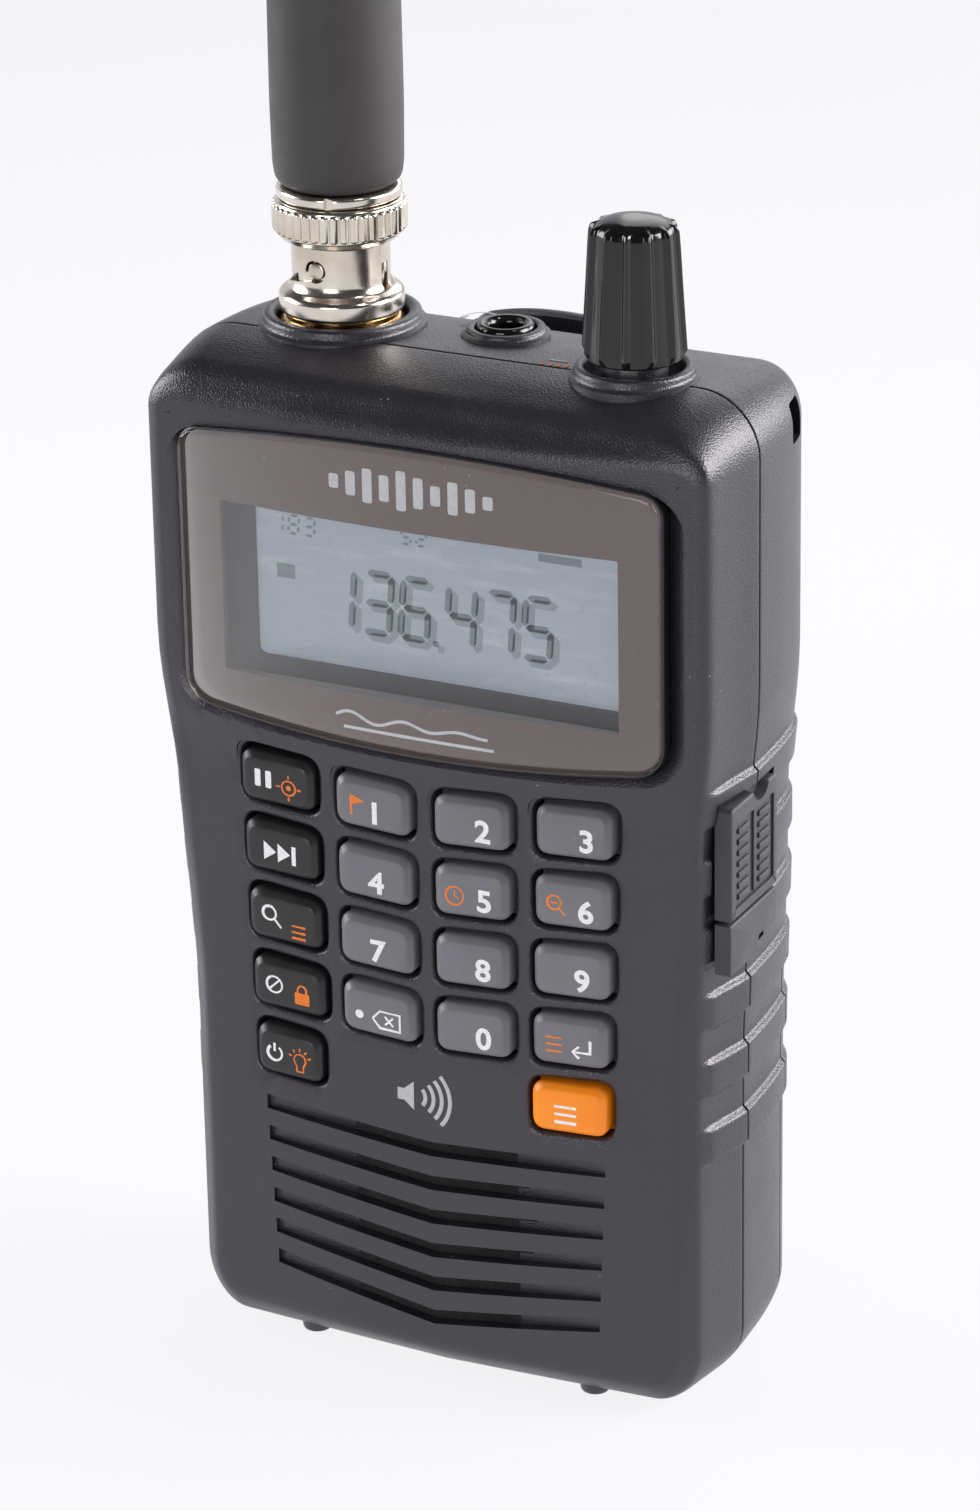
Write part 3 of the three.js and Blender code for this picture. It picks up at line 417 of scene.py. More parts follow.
class Finish:
    """A procedural material in object space, whose coordinates are metres."""

    def __init__(self, name, **settings):
        self.material = bpy.data.materials.new(name)
        self.material.use_nodes = True
        self.tree = self.material.node_tree
        self.shader = self.tree.nodes["Principled BSDF"]
        self.where = self.node("ShaderNodeTexCoord").outputs["Object"]
        for key, value in settings.items():
            self.shader.inputs[key.replace("_", " ")].default_value = value

    def node(self, kind, **settings):
        node = self.tree.nodes.new(kind)
        for key, value in settings.items():
            setattr(node, key, value)
        return node

    def link(self, source, target):
        self.tree.links.new(source, target)

    def stretched(self, x, y, z):
        mapping = self.node("ShaderNodeMapping")
        mapping.inputs["Scale"].default_value = (x, y, z)
        self.link(self.where, mapping.inputs["Vector"])
        return mapping.outputs["Vector"]

    def noise(self, scale, detail=3.0, rough=0.55, where=None):
        node = self.node("ShaderNodeTexNoise")
        node.inputs["Scale"].default_value = scale
        node.inputs["Detail"].default_value = detail
        node.inputs["Roughness"].default_value = rough
        self.link(where or self.where, node.inputs["Vector"])
        return node.outputs["Fac"]

    def cells(self, scale, feature="F1"):
        node = self.node("ShaderNodeTexVoronoi", feature=feature)
        node.inputs["Scale"].default_value = scale
        self.link(self.where, node.inputs["Vector"])
        return node.outputs["Distance"]

    def along(self, axis):
        """One coordinate of the object space."""
        split = self.node("ShaderNodeSeparateXYZ")
        self.link(self.where, split.inputs[0])
        return split.outputs[axis]

    def combined(self, operation, a, b):
        node = self.node("ShaderNodeMath", operation=operation)
        self.link(a, node.inputs[0])
        self.link(b, node.inputs[1])
        return node.outputs[0]

    def spread(self, fac, low, high, to_low=0.0, to_high=1.0):
        node = self.node("ShaderNodeMapRange")
        for name, value in (("From Min", low), ("From Max", high), ("To Min", to_low), ("To Max", to_high)):
            node.inputs[name].default_value = value
        self.link(fac, node.inputs["Value"])
        return node.outputs["Result"]

    def mix(self, fac, a, b):
        node = self.node("ShaderNodeMix", data_type="RGBA")
        self.link(fac, node.inputs[0])
        for socket, value in ((node.inputs[6], a), (node.inputs[7], b)):
            if isinstance(value, tuple):
                socket.default_value = value
            else:
                self.link(value, socket)
        return node.outputs[2]

    def patches(self, scale, detail, a, b, low=0.3, high=0.7):
        """Two colours in soft patches."""
        return self.mix(self.spread(self.noise(scale, detail), low, high), a, b)

    def colour(self, source):
        self.link(source, self.shader.inputs["Base Color"])

    def roughness(self, scale, detail, low, high):
        """Roughness that wanders between two values."""
        wander = self.spread(self.noise(scale, detail), 0.3, 0.7, low, high)
        self.link(wander, self.shader.inputs["Roughness"])

    def bump(self, *layers):
        """Layers of (height source, strength, distance in metres), the last one on top."""
        normal = None
        for height, strength, distance in layers:
            node = self.node("ShaderNodeBump")
            node.inputs["Strength"].default_value = strength
            node.inputs["Distance"].default_value = distance
            self.link(height, node.inputs["Height"])
            if normal:
                self.link(normal, node.inputs["Normal"])
            normal = node.outputs["Normal"]
        self.link(normal, self.shader.inputs["Normal"])

    def dusted(self, base, dust, amount=0.62):
        """Sparse pale specks of dust over a colour."""
        specks = self.spread(self.cells(700), 0.05, 0.09, 1.0, 0.0)
        where = self.spread(self.noise(90, 2), amount, amount + 0.08)
        return self.mix(self.combined("MULTIPLY", specks, where), base, dust)


SPECULAR_TINT = (0.96, 0.93, 1.0, 1.0)
ACRYLIC_IOR = 1.49


def moulded_plastic(name, dark, light, rough_low, rough_high, grain=1.0, dust=True, ior=1.5):
    """Spark-textured moulded plastic, with the slight shade differences of handling."""
    f = Finish(name, IOR=ior, Specular_Tint=SPECULAR_TINT)
    tone = f.patches(45, 4, dark, light)
    f.colour(f.dusted(tone, rgb(150, 150, 155)) if dust else tone)
    f.roughness(160, 3, rough_low, rough_high)
    pits = f.cells(5000, "SMOOTH_F1")
    fine = f.noise(6500, 2, 0.6)
    f.bump((pits, 0.75 * grain, 0.00006), (fine, 0.6 * grain, 0.00003))
    return f.material


def gloss_black():
    f = Finish("gloss_black", IOR=1.52)
    f.colour(f.patches(60, 3, rgb(12, 12, 14), rgb(18, 18, 21), 0.35, 0.65))
    f.roughness(300, 3, 0.1, 0.2)
    f.bump((f.noise(2600, 2), 0.25, 0.00004))
    return f.material


def key_plastic(name, dark, light, rough=0.42):
    """Satin coated key in two close shades, with a little dust."""
    f = Finish(name, IOR=1.48)
    f.colour(f.dusted(f.patches(140, 3, dark, light), rgb(165, 165, 168), 0.64))
    f.roughness(420, 3, rough - 0.06, rough + 0.08)
    f.bump((f.noise(6500, 2), 0.16, 0.00004))
    return f.material


def printed(name, colour):
    """Pad-printed ink with a faintly uneven density."""
    f = Finish(name)
    f.colour(f.patches(2200, 3, colour, scaled(colour, 0.86), 0.35, 0.7))
    f.roughness(3000, 2, 0.42, 0.58)
    return f.material


def lens_paint():
    """Taupe metallic paint behind clear acrylic: fine flakes under a gloss coat."""
    f = Finish("lens_paint", Coat_Weight=1.0, Coat_Roughness=0.04, Coat_IOR=ACRYLIC_IOR, Metallic=0.25)
    flakes = f.spread(f.cells(9000), 0.0, 0.6, 1.0, 0.0)
    base = f.mix(flakes, rgb(84, 56, 44), rgb(116, 86, 70))
    tone = f.patches(30, 2, base, rgb(92, 66, 54))
    f.colour(f.dusted(tone, rgb(170, 160, 150), 0.6))
    f.roughness(4200, 2, 0.3, 0.46)
    f.bump((f.noise(9000, 1), 0.12, 0.00003))
    return f.material


def clear_acrylic():
    """Thin clear sheet: mostly see-through, with a gloss that grows at grazing angles."""
    f = Finish("clear_acrylic")
    glass = f.node("ShaderNodeBsdfTransparent")
    glass.inputs["Color"].default_value = (0.97, 0.975, 0.98, 1)
    gloss = f.node("ShaderNodeBsdfGlossy")
    f.link(f.spread(f.noise(260, 3), 0.3, 0.7, 0.03, 0.07), gloss.inputs["Roughness"])
    fresnel = f.node("ShaderNodeFresnel")
    fresnel.inputs["IOR"].default_value = ACRYLIC_IOR
    mix = f.node("ShaderNodeMixShader")
    for socket, source in zip(mix.inputs, (fresnel, glass, gloss)):
        f.link(source.outputs[0], socket)
    f.link(mix.outputs[0], f.tree.nodes["Material Output"].inputs["Surface"])
    f.tree.nodes.remove(f.shader)
    return f.material


def lcd_glass():
    """Reflective display: blue-grey, painted a little brighter low down and darker at the top as light and
    shade, with faint streaks.
    """
    f = Finish("lcd_glass", Coat_Weight=0.35, Coat_Roughness=0.12)
    # Painted light and shade: the panel is coloured lighter low down and darker towards the top.
    height = f.spread(f.along("Z"), WINDOW_LOW * MM, WINDOW_HIGH * MM)
    base = f.mix(height, rgb(202, 212, 224), rgb(190, 201, 215))
    streak = f.noise(260, 3, 0.6, f.stretched(0.35, 1, 2.4))
    tone = f.mix(f.spread(streak, 0.5, 0.75), base, rgb(220, 228, 236))
    f.colour(f.patches(1400, 2, tone, rgb(186, 196, 208), 0.62, 0.78))
    f.roughness(500, 2, 0.3, 0.42)
    return f.material


def lcd_mark(name, colour, alpha):
    f = Finish(name, Alpha=alpha)
    f.colour(f.mix(f.noise(900, 2), colour, scaled(colour, 1.25)))
    f.roughness(900, 2, 0.4, 0.6)
    return f.material


def rubber(name, dark, light, rough, grain, specks):
    f = Finish(name, IOR=1.47)
    f.colour(f.dusted(f.patches(70, 4, dark, light), rgb(175, 168, 165), specks))
    f.roughness(260, 4, rough - 0.08, rough + 0.1)
    f.bump((f.noise(3800, 3), grain, 0.00004))
    return f.material


def turned_metal(name, light, shadow, rough, lines=True):
    """Plated metal with a slight tarnish and, where wanted, the fine rings a lathe leaves."""
    f = Finish(name, Metallic=1.0)
    f.colour(f.patches(120, 4, light, shadow, 0.35, 0.75))
    f.roughness(380, 3, rough - 0.06, rough + 0.08)
    if lines:
        f.bump((f.noise(1.0, 3, 0.7, f.stretched(25, 25, 9000)), 0.22, 0.00002))
    else:
        f.bump((f.noise(2500, 2), 0.08, 0.00002))
    return f.material


def circuit_board():
    f = Finish("circuit_board", Coat_Weight=0.3)
    tracks = f.spread(f.cells(420, "DISTANCE_TO_EDGE"), 0.02, 0.05)
    f.colour(f.mix(tracks, rgb(52, 118, 80), rgb(24, 78, 50)))
    f.roughness(500, 2, 0.35, 0.5)
    f.bump((tracks, 0.2, 0.00003))
    return f.material


def paper():
    f = Finish("speaker_paper", Sheen_Weight=0.2)
    f.colour(f.mix(f.noise(600, 4), rgb(5, 5, 6), rgb(10, 9, 10)))
    f.roughness(700, 2, 0.8, 0.95)
    weave = f.combined("ADD", f.cells(2200), f.noise(3000, 2))
    f.bump((weave, 0.5, 0.0001))
    return f.material


def cell_wrap():
    """Printed shrink sleeve of a battery: a pale band on a deep blue body."""
    f = Finish("cell_wrap", Coat_Weight=0.6, Coat_Roughness=0.1)
    band = f.spread(f.along("X"), 0.0148, 0.0152)
    f.colour(f.mix(band, rgb(28, 74, 120), rgb(196, 200, 205)))
    f.roughness(500, 2, 0.22, 0.34)
    f.bump((f.noise(900, 2), 0.1, 0.00003))
    return f.material


MATERIALS = {
    "case": moulded_plastic("case_plastic", rgb(31, 29, 36), rgb(37, 35, 42), 0.31, 0.39, ior=1.66),
    "black": moulded_plastic("black_plastic", rgb(24, 24, 27), rgb(31, 31, 34), 0.34, 0.44, 0.6),
    "gloss": gloss_black(),
    "grey": key_plastic("key_grey", rgb(108, 107, 113), rgb(116, 115, 121)),
    "dark": key_plastic("key_dark", rgb(33, 31, 33), rgb(40, 38, 40), 0.38),
    "orange": key_plastic("key_orange", rgb(255, 136, 6), rgb(255, 146, 16), 0.4),
    "white_ink": printed("white_ink", rgb(242, 242, 244)),
    "orange_ink": printed("orange_ink", rgb(240, 122, 24)),
    "grey_ink": printed("grey_ink", rgb(190, 190, 194)),
    "lens": lens_paint(),
    "acrylic": clear_acrylic(),
    "lcd": lcd_glass(),
    "segment": lcd_mark("lcd_segment", rgb(92, 102, 114), 0.2),
    # Painted shadow of the display's digits.
    "painted_shadow": lcd_mark("lcd_painted_shadow", rgb(96, 106, 118), 0.1),
    "lcd_frame": moulded_plastic("lcd_frame", rgb(60, 61, 66), rgb(68, 69, 74), 0.4, 0.5, 0.3, False),
    "rubber": rubber("soft_rubber", rgb(52, 52, 56), rgb(60, 60, 64), 0.5, 0.35, 0.66),
    "aerial": rubber("aerial_rubber", rgb(52, 49, 50), rgb(60, 57, 58), 0.52, 0.4, 0.58),
    "nickel": turned_metal("nickel_plate", rgb(226, 219, 210), rgb(196, 184, 170), 0.17),
    "brass": turned_metal("brass_plate", rgb(226, 196, 140), rgb(196, 158, 96), 0.2),
    "steel": turned_metal("tinned_steel", rgb(190, 192, 196), rgb(160, 162, 168), 0.3, False),
    "board": circuit_board(),
    "cloth": paper(),
    "cell": cell_wrap(),
    "silicone": rubber("silicone", rgb(58, 58, 62), rgb(66, 66, 70), 0.6, 0.3, 0.8),
}


def piece(obj, finish, body, slot, *nodes):
    """Gives a finished piece its material and body, and hides the CAD nodes it stands for. The slot argument
    is not used.
    """
    obj.data.materials.clear()
    obj.data.materials.append(MATERIALS[finish])
    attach(obj, body)
    if nodes:
        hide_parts(*nodes)
    return obj


# ---------------------------------------------------------------- case outline

def smooth(t):
    t = min(1.0, max(0.0, t))
    return t * t * (3 - 2 * t)


def bow_at(x):
    return BOW * x * x


def edge_forward(z):
    return smooth((z - HEAD_LOW) / (HEAD_HIGH - HEAD_LOW))


def face_forward(z):
    return HEAD_FACE * smooth((z - HEAD_FACE_LOW) / (HEAD_FACE_HIGH - HEAD_FACE_LOW))


def side_half(z):
    """Half width of the case at a height, without the grip pads."""
    half = HEAD_HALF
    for top, run, step in NARROWINGS:
        half -= step * smooth((top - z) / run)
    return half


def underside(x):
    """Height of the case's underside at a distance from the middle."""
    return BOTTOM_Z + BOTTOM_V * x


def pad_at(z):
    """How far a grip pad stands up at a height, from 0 to 1."""
    for i in range(PAD_COUNT):
        low = PAD_FIRST + i * PAD_PITCH
        up = (z - low) / PAD_RAMP
        down = (low + PAD_HEIGHT - z) / PAD_RAMP
        if up > 0 and down > 0:
            return min(smooth(up), smooth(down))
    return 0.0


def side_heights():
    heights = [12, 18, 24, 28]
    for i in range(PAD_COUNT):
        low = PAD_FIRST + i * PAD_PITCH
        for edge, way in ((low, 1), (low + PAD_HEIGHT, -1)):
            heights += [edge + way * PAD_RAMP * t for t in (-0.25, 0, 0.2, 0.4, 0.6, 0.8, 1, 1.3)]
        heights.append(low + PAD_HEIGHT / 2)
    heights += [78, 81, 84, 87, 92, 98, 104]
    return sorted(heights)


ACROSS = (5, 10, 15, 20, 24)


def half_outline(steps=10):
    """Right half of the case outline from underside to top: (x, z, outward x, outward z, pad)."""
    low_half = side_half(0) - CORNER
    points = [(x, underside(x), 0, -1, 0) for x in ACROSS]
    corner_z = underside(low_half) + CORNER
    for i in range(steps + 1):
        a = math.radians(-90 + 90 * i / steps)
        x = low_half + CORNER * math.cos(a)
        points.append((x, corner_z + CORNER * math.sin(a), math.cos(a), math.sin(a), 0))
    points += [(side_half(z), z, 1, 0, pad_at(z)) for z in side_heights()]
    for i in range(steps + 1):
        a = math.radians(90 * i / steps)
        x = HEAD_HALF - CORNER + CORNER * math.cos(a)
        points.append((x, TOP_Z - CORNER + CORNER * math.sin(a), math.cos(a), math.sin(a), 0))
    points += [(x, TOP_Z, 0, 1, 0) for x in reversed(ACROSS)]
    return points


HALF_OUTLINE = half_outline()


def case_ring(section):
    """One ring of the case. A section holds y, the side, top and low insets, pad, how much of the
    head's forward step it follows, and how much of the face's bow."""
    y, side, top, low, pad, fore, bow = section
    right = []
    for x, z, nx, nz, raised in HALF_OUTLINE:
        inset = top if nz > 0 else low
        step = fore * edge_forward(z)
        px = x - nx * side * (1 - HEAD_TRIM * step) + raised * PAD_PROUD * pad
        pz = z - nz * inset
        edge_y = y - HEAD_EDGE * step
        right.append((px, edge_y + bow * (bow_at(px) - face_forward(pz) + HEAD_EDGE * step), pz))
    left = [(-x, yy, z) for x, yy, z in reversed(right)]
    high = y - HEAD_EDGE * fore * (1 - bow) - HEAD_FACE * bow
    return [(0, y, BOTTOM_Z + low), *right, (0, high, TOP_Z - top), *left]


def face_rings(ring, front, bow):
    """Rings that carry the last ring in to the middle of the face."""
    rings = []
    for i in range(1, FACE_RINGS):
        s = 1 - i / FACE_RINGS
        inner = [(x * s, FACE_MIDDLE_Z + (z - FACE_MIDDLE_Z) * s) for x, _, z in ring]
        rings.append([(x, front + bow * (bow_at(x) - face_forward(z)), z) for x, z in inner])
    return rings


FRONT_SECTIONS = [
    (PARTING_Y - GAP / 2, 0.12, 0.12, 0.12, 1, 0, 0),
    (PARTING_Y - GAP / 2 - 0.15, 0, 0, 0, 1, 0, 0),
    (-7, 0.7, 0.5, 0.0, 1, 0.35, 0),
    (-9.6, 1.25, 1.5, 0.05, 0.9, 0.8, 0),
    (-10.4, 1.45, 2.0, 0.1, 0.5, 0.95, 0),
    (-11.3, 1.7, 2.7, 0.2, 0, 1, 0),
    (-12.3, 2.4, 3.7, 0.5, 0, 1, 0.15),
    (FACE_Y + 0.5, 3.6, 5.0, 2.4, 0, 1, 0.8),
    (FACE_Y, 4.6, 6.2, 3.6, 0, 1, 1),
    (FACE_Y, 6.4, 8.2, 5.4, 0, 1, 1),
]
REAR_SECTIONS = [
    (PARTING_Y + GAP / 2, 0.12, 0.12, 0.12, 1, 0, 0),
    (PARTING_Y + GAP / 2 + 0.15, 0, 0, 0, 1, 0, 0),
    (3, 0.3, 0.2, 0.3, 1, 0, 0),
    (8.5, 1.0, 0.7, 0.8, 1, 0, 0),
    (12, 2.0, 1.5, 1.7, 0.8, 0, 0),
    (14.4, 3.7, 3.0, 3.2, 0.1, 0, 0),
    (BACK_Y, 6.0, 5.4, 5.4, 0, 0, 0),
    (BACK_Y, 6.8, 6.6, 6.6, 0, 0, 0),
]


def case_solid(name, sections, front, bow):
    """A solid through case sections, closed by a face at front that follows a share of the bow."""
    rings = [case_ring(s) for s in sections]
    return loft(name, rings + face_rings(rings[-1], front, bow))


def front_skin(name):
    return case_solid(name, chaikin(FRONT_SECTIONS, 3), FACE_Y, 1)


def rear_skin(name):
    return case_solid(name, chaikin(REAR_SECTIONS, 3), BACK_Y, 0)


def front_hollow():
    floor = FACE_Y + WALL
    return case_solid("front_hollow", [
        (PARTING_Y + 1, 2.6, 2.6, 2.6, 0, 0, 0), (-8, 2.6, 2.9, 2.6, 0, 0, 0), (floor, 6.6, 8, 6, 0, 0, 1),
    ], floor, 1)


def rear_hollow():
    floor = BACK_Y - WALL
    return case_solid("rear_hollow", [
        (PARTING_Y - 1, 2.3, 2.3, 2.3, 0, 0, 0), (8.5, 2.9, 2.6, 2.6, 0, 0, 0),
        (floor, 5.4, 4.6, 4.6, 0, 0, 0),
    ], floor, 0)


def case_lip():
    """The tongue inside the seam, which keeps light out of the gap between the halves."""
    y_levels = (-5.5, -2.3)
    outer = [case_ring((y, 2.42, 2.42, 2.42, 0, 0, 0)) for y in y_levels]
    inner = [case_ring((y, 3.2, 3.2, 3.2, 0, 0, 0)) for y in reversed(y_levels)]
    return loft("case_lip", outer + inner, closed=True)


# ---------------------------------------------------------------- lens outline and keys

def lens_outline(grow, top_share=LENS_TOP_GROW):
    """The lens grown by a distance; its top edge grows by a share of that."""
    right = LENS_HALF + grow
    low_r = LENS_LOW_CORNER + grow
    high_r = LENS_HIGH_CORNER + grow
    up = grow * top_share if grow > 0 else grow

    def low(x):
        return LENS_MID_LOW - grow + (LENS_SIDE_LOW - LENS_MID_LOW) * (x / 25) ** 2

    def high(x):
        return LENS_MID_HIGH + up + (LENS_SIDE_HIGH - LENS_MID_HIGH) * (x / 26) ** 2

    half = [((right - low_r) * t, low((right - low_r) * t)) for t in (0.2, 0.4, 0.6, 0.8)]
    half += arc(right - low_r, low(right - low_r) + low_r, low_r, -90, 0, 8)
    half += arc(right - high_r, high(right - high_r) - high_r, high_r, 0, 90, 8)
    half += [((right - high_r) * t, high((right - high_r) * t)) for t in (0.8, 0.6, 0.4, 0.2)]
    left = [(-x, z) for x, z in reversed(half)]
    return [(0, low(0)), *half, (0, high(0)), *left]


def lens_ring(grow, y, bowed=True, top_share=LENS_TOP_GROW):
    return [(x, y + (bow_at(x) if bowed else 0), z) for x, z in lens_outline(grow, top_share)]


def key_centre(name):
    x, _, z = middle_of(name)
    return x, z


def key_lean(x):
    """Rise per millimetre across a key centred at x, from the keypad's shallow V."""
    return KEY_SLOPE if x > 0 else -KEY_SLOPE


def key_outline(name, w, h, radius):
    """A rounded rectangle about a key's middle that leans with the keypad's shallow V."""
    x0, z0 = key_centre(name)
    lean = key_lean(x0)
    if name == "key_power":
        w -= POWER_NARROWER
        x0 -= POWER_NARROWER / 2
    outline = rectangle(-w / 2, w / 2, -h / 2, h / 2, radius, 6)
    return [(x0 + x, z0 + z + lean * x) for x, z in outline]


def key_hole(name):
    """A cutter for a key's opening, with a rounded mouth: rows of (widening, y)."""
    levels = ((0.0, -9.0), (0.0, FACE_Y + 0.55), (0.08, FACE_Y + 0.3), (0.25, FACE_Y + 0.1),
              (0.5, FACE_Y - 0.02), (0.62, FACE_Y - 0.6))
    rings = []
    for grow, y in levels:
        w, h = KEY_BASE[0] + 0.8 + 2 * grow, KEY_BASE[1] + 0.9 + 2 * grow
        rings.append([(x, y + bow_at(x), z) for x, z in key_outline(name, w, h, 1.75 + grow)])
    return loft("key_hole", rings)


# ---------------------------------------------------------------- speaker slots

def slot_half(k):
    return SLOT_HALF - SLOT_SHORTER * k


def slot_top(k, x):
    end = SLOT_END_TOP - k * SLOT_END_PITCH
    middle = SLOT_MID_TOP - k * SLOT_MID_PITCH
    return middle + (end - middle) * abs(x) / slot_half(k)


def slot_cutter(k, x0, x1, high, low, y_front, y_back):
    """A cutter along slot k between two x positions, from high to low below the slot's top edge."""
    xs = [x0 + (x1 - x0) * i / 12 for i in range(13)]
    if x0 < 0 < x1:
        xs = sorted(set(xs + [0.0]))
    upper = [(x, slot_top(k, x) - high) for x in xs]
    lower = [(x, slot_top(k, x) - low) for x in reversed(xs)]
    outline = upper + lower
    bottom = [(x, y_back, z) for x, z in outline]
    sides = [(x, y_front + bow_at(x), z) for x, z in outline]
    return loft_strip("slot", [bottom, sides], len(xs))


def slot_cutters():
    """Shallow slots over the full width and, in front of the speaker, deeper ones between the ribs."""
    cutters = []
    rib_in, rib_out = GRILLE_RIB
    for k in range(SLOT_COUNT):
        cutters.append(slot_cutter(k, -slot_half(k), slot_half(k), 0, SLOT_HEIGHT, FACE_Y - 2, FACE_Y + 1.5))
        rise = abs(slot_top(k, 0) - SLOT_HEIGHT / 2 - SPEAKER_Z)
        reach = math.sqrt(max(0.0, SPEAKER_REACH ** 2 - rise * rise))
        middle = min(reach, rib_in)
        spans = [(-middle, middle)] if reach > 2 else []
        if reach > 8.5:
            spans += [(rib_out, reach), (-reach, -rib_out)]
        for x0, x1 in spans:
            cutters.append(slot_cutter(k, x0, x1, 0.12, 0.85, FACE_Y + 1.2, FACE_Y + 4))
    return cutters


# ---------------------------------------------------------------- case pieces

def boss(name, x, y, outer, inner, high, crown):
    """The raised ring round a fitting on the top face, with a well inside it."""
    profile = rounded([(inner, TOP_Z - 1, 0), (outer + 0.5, TOP_Z - 1, 0), (outer + 0.5, TOP_Z - 0.05, 0),
                       (outer, TOP_Z + 0.25, 0.3), (outer - 0.1, high, crown), (inner, high, crown)],
                      0.3, 5, True)
    return lathe(name, profile, x, y, 96, closed=True)


def bore(x, y, radius, low=TOP_Z - 6, high=TOP_Z + 6):
    return lathe("bore", [(0, low), (radius, low), (radius, high), (0, high)], x, y, 64)


def port_pocket():
    high = FLAP_Z[1] + 0.5
    pocket = block("pocket", PORT_FLOOR_X, 40, PORT_Y[0] - GAP, PORT_Y[1] + GAP, ANCHOR_LOW - GAP, high)
    mouth = block("mouth", 27, 39, USB_Y - 2.45, USB_Y + 2.45, USB_Z - 4.35, USB_Z + 4.35)
    return [pocket, mouth]


def feet(y):
    high = underside(FOOT_X) + 1.7
    profile = rounded([(0, 0), (1.6, 0), (2.0, high), (0, high)], 0.4, 4)
    return [lathe("foot", profile, x, y, 40) for x in (-FOOT_X, FOOT_X)]


def slot_cloth():
    """Cloth strips that show behind the speaker slots."""
    strips = []
    for k in range(SLOT_COUNT):
        half = slot_half(k) - 0.05
        strips.append(slot_cutter(k, -half, half, 0.05, SLOT_HEIGHT - 0.05, FACE_Y + 1.3, FACE_Y + 1.7))
    piece(joined("slot_cloth", strips), "cloth", "radio", "speaker_paper")


def well_floor(x, y, inner, outer):
    profile = rectangle(inner, outer, TOP_Z - 1.2, TOP_Z - 0.9, 0.05, 2)
    return lathe("well", profile, x, y, 72, closed=True)


def top_fittings():
    """The rings round the aerial and the knob, and the floors of their wells."""
    rings = [boss("ring", AERIAL_X, AERIAL_Y, 8.6, AERIAL_WELL, TOP_Z + 1.3, 0.75),
             boss("ring", KNOB_X, KNOB_Y, 6.4, KNOB_WELL, TOP_Z + 1.2, 0.55)]
    piece(joined("top_rings", rings), "case", "radio", "case_plastic")
    floors = [well_floor(AERIAL_X, AERIAL_Y, 5.2, 7.4), well_floor(KNOB_X, KNOB_Y, 3.9, 5.5)]
    piece(joined("top_wells", floors), "black", "radio", "case_plastic")


def lens_cuts():
    """Cutters for the sloping surround of the lens, its pocket and the display's window."""
    slope = chaikin([(GAP, -14.7), (0.6, -15.2), (1.6, -15.9), (3.0, -16.35), (4.6, -17.2)], 2)
    rings = [lens_ring(grow, y, top_share=0.0) for grow, y in slope]
    cove = loft("cove", rings + [lens_ring(4.6, -19, top_share=0.0)])
    pocket = loft("pocket", [lens_ring(GAP, LENS_BACK_Y + GAP, False), lens_ring(GAP, -20, False)])
    side = WINDOW_HALF + 1.3
    window = block("window", -side, side, -18, -9, WINDOW_LOW - 1.7, WINDOW_HIGH + 1.1)
    return [cove, pocket, window]


def front_case():
    shell = boolean(front_skin("front_shell"), [front_hollow()])
    backing = loft("backing", [lens_ring(2.8, -11.2, False), lens_ring(2.8, -14.9), lens_ring(1.2, -15.6)])
    shell = boolean(shell, [backing, *feet(FOOT_FRONT_Y), case_lip()], "UNION")
    cuts = lens_cuts() + [key_hole(name) for name in KEYS] + slot_cutters() + port_pocket()
    cuts += [bore(AERIAL_X, AERIAL_Y, AERIAL_WELL), bore(KNOB_X, KNOB_Y, KNOB_WELL)]
    shell = boolean(shell, cuts)
    shell.name = "front_shell"
    piece(shell, "case", "radio", "case_plastic", "front_case")
    slot_cloth()
    top_fittings()


def door_region(clear):
    return block("door_region", -50, 50, DOOR_Y - clear, 40, -10, DOOR_TOP + clear)


def rear_case():
    shell = boolean(rear_skin("rear_shell"), [rear_hollow()])
    lip = block("lip", -50, 50, DOOR_Y - 1.8, 40, -10, DOOR_TOP + 1.8)
    wall = boolean(rear_hollow(), [lip], "INTERSECT")
    shell = boolean(shell, [wall], "UNION")
    phone_ring = boss("ring", PHONE_X, PHONE_Y, 4.3, PHONE_WELL, TOP_Z + 0.75, 0.35)
    post = [(0, -3), (2.6, -3), (2.6, 14), (0, 14)]
    posts = [lathe("post", post, x, 0, 40, "Y", TOP_SCREW_Z) for x in (-SCREW_X, SCREW_X)]
    shell = boolean(shell, [phone_ring, *posts, *feet(FOOT_REAR_Y)], "UNION")
    bay = block("bay", -28.2, 28.2, -1.2, 30, 5.2, 36.4)
    strap = block("strap", 26, 40, 6.6, 10.2, 107.2, 111.6, 0.5)
    well = [(0, 9), (2.4, 9), (2.4, 15.1), (2.7, 15.6), (2.7, 20), (0, 20)]
    wells = [lathe("well", well, x, 0, 40, "Y", TOP_SCREW_Z) for x in (-SCREW_X, SCREW_X)]
    clip_hole = lathe("hole", [(0, 6), (1.6, 6), (1.6, 20), (0, 20)], 0, 0, 32, "Y", CLIP_SCREW_Z)
    cuts = [door_region(GAP), bay, strap, *wells, clip_hole, *port_pocket()]
    cuts += [bore(AERIAL_X, AERIAL_Y, AERIAL_WELL), bore(KNOB_X, KNOB_Y, KNOB_WELL)]
    cuts.append(bore(PHONE_X, PHONE_Y, PHONE_WELL))
    shell = boolean(shell, cuts)
    shell.name = "rear_shell"
    piece(shell, "case", "radio", "case_plastic", "rear_case")


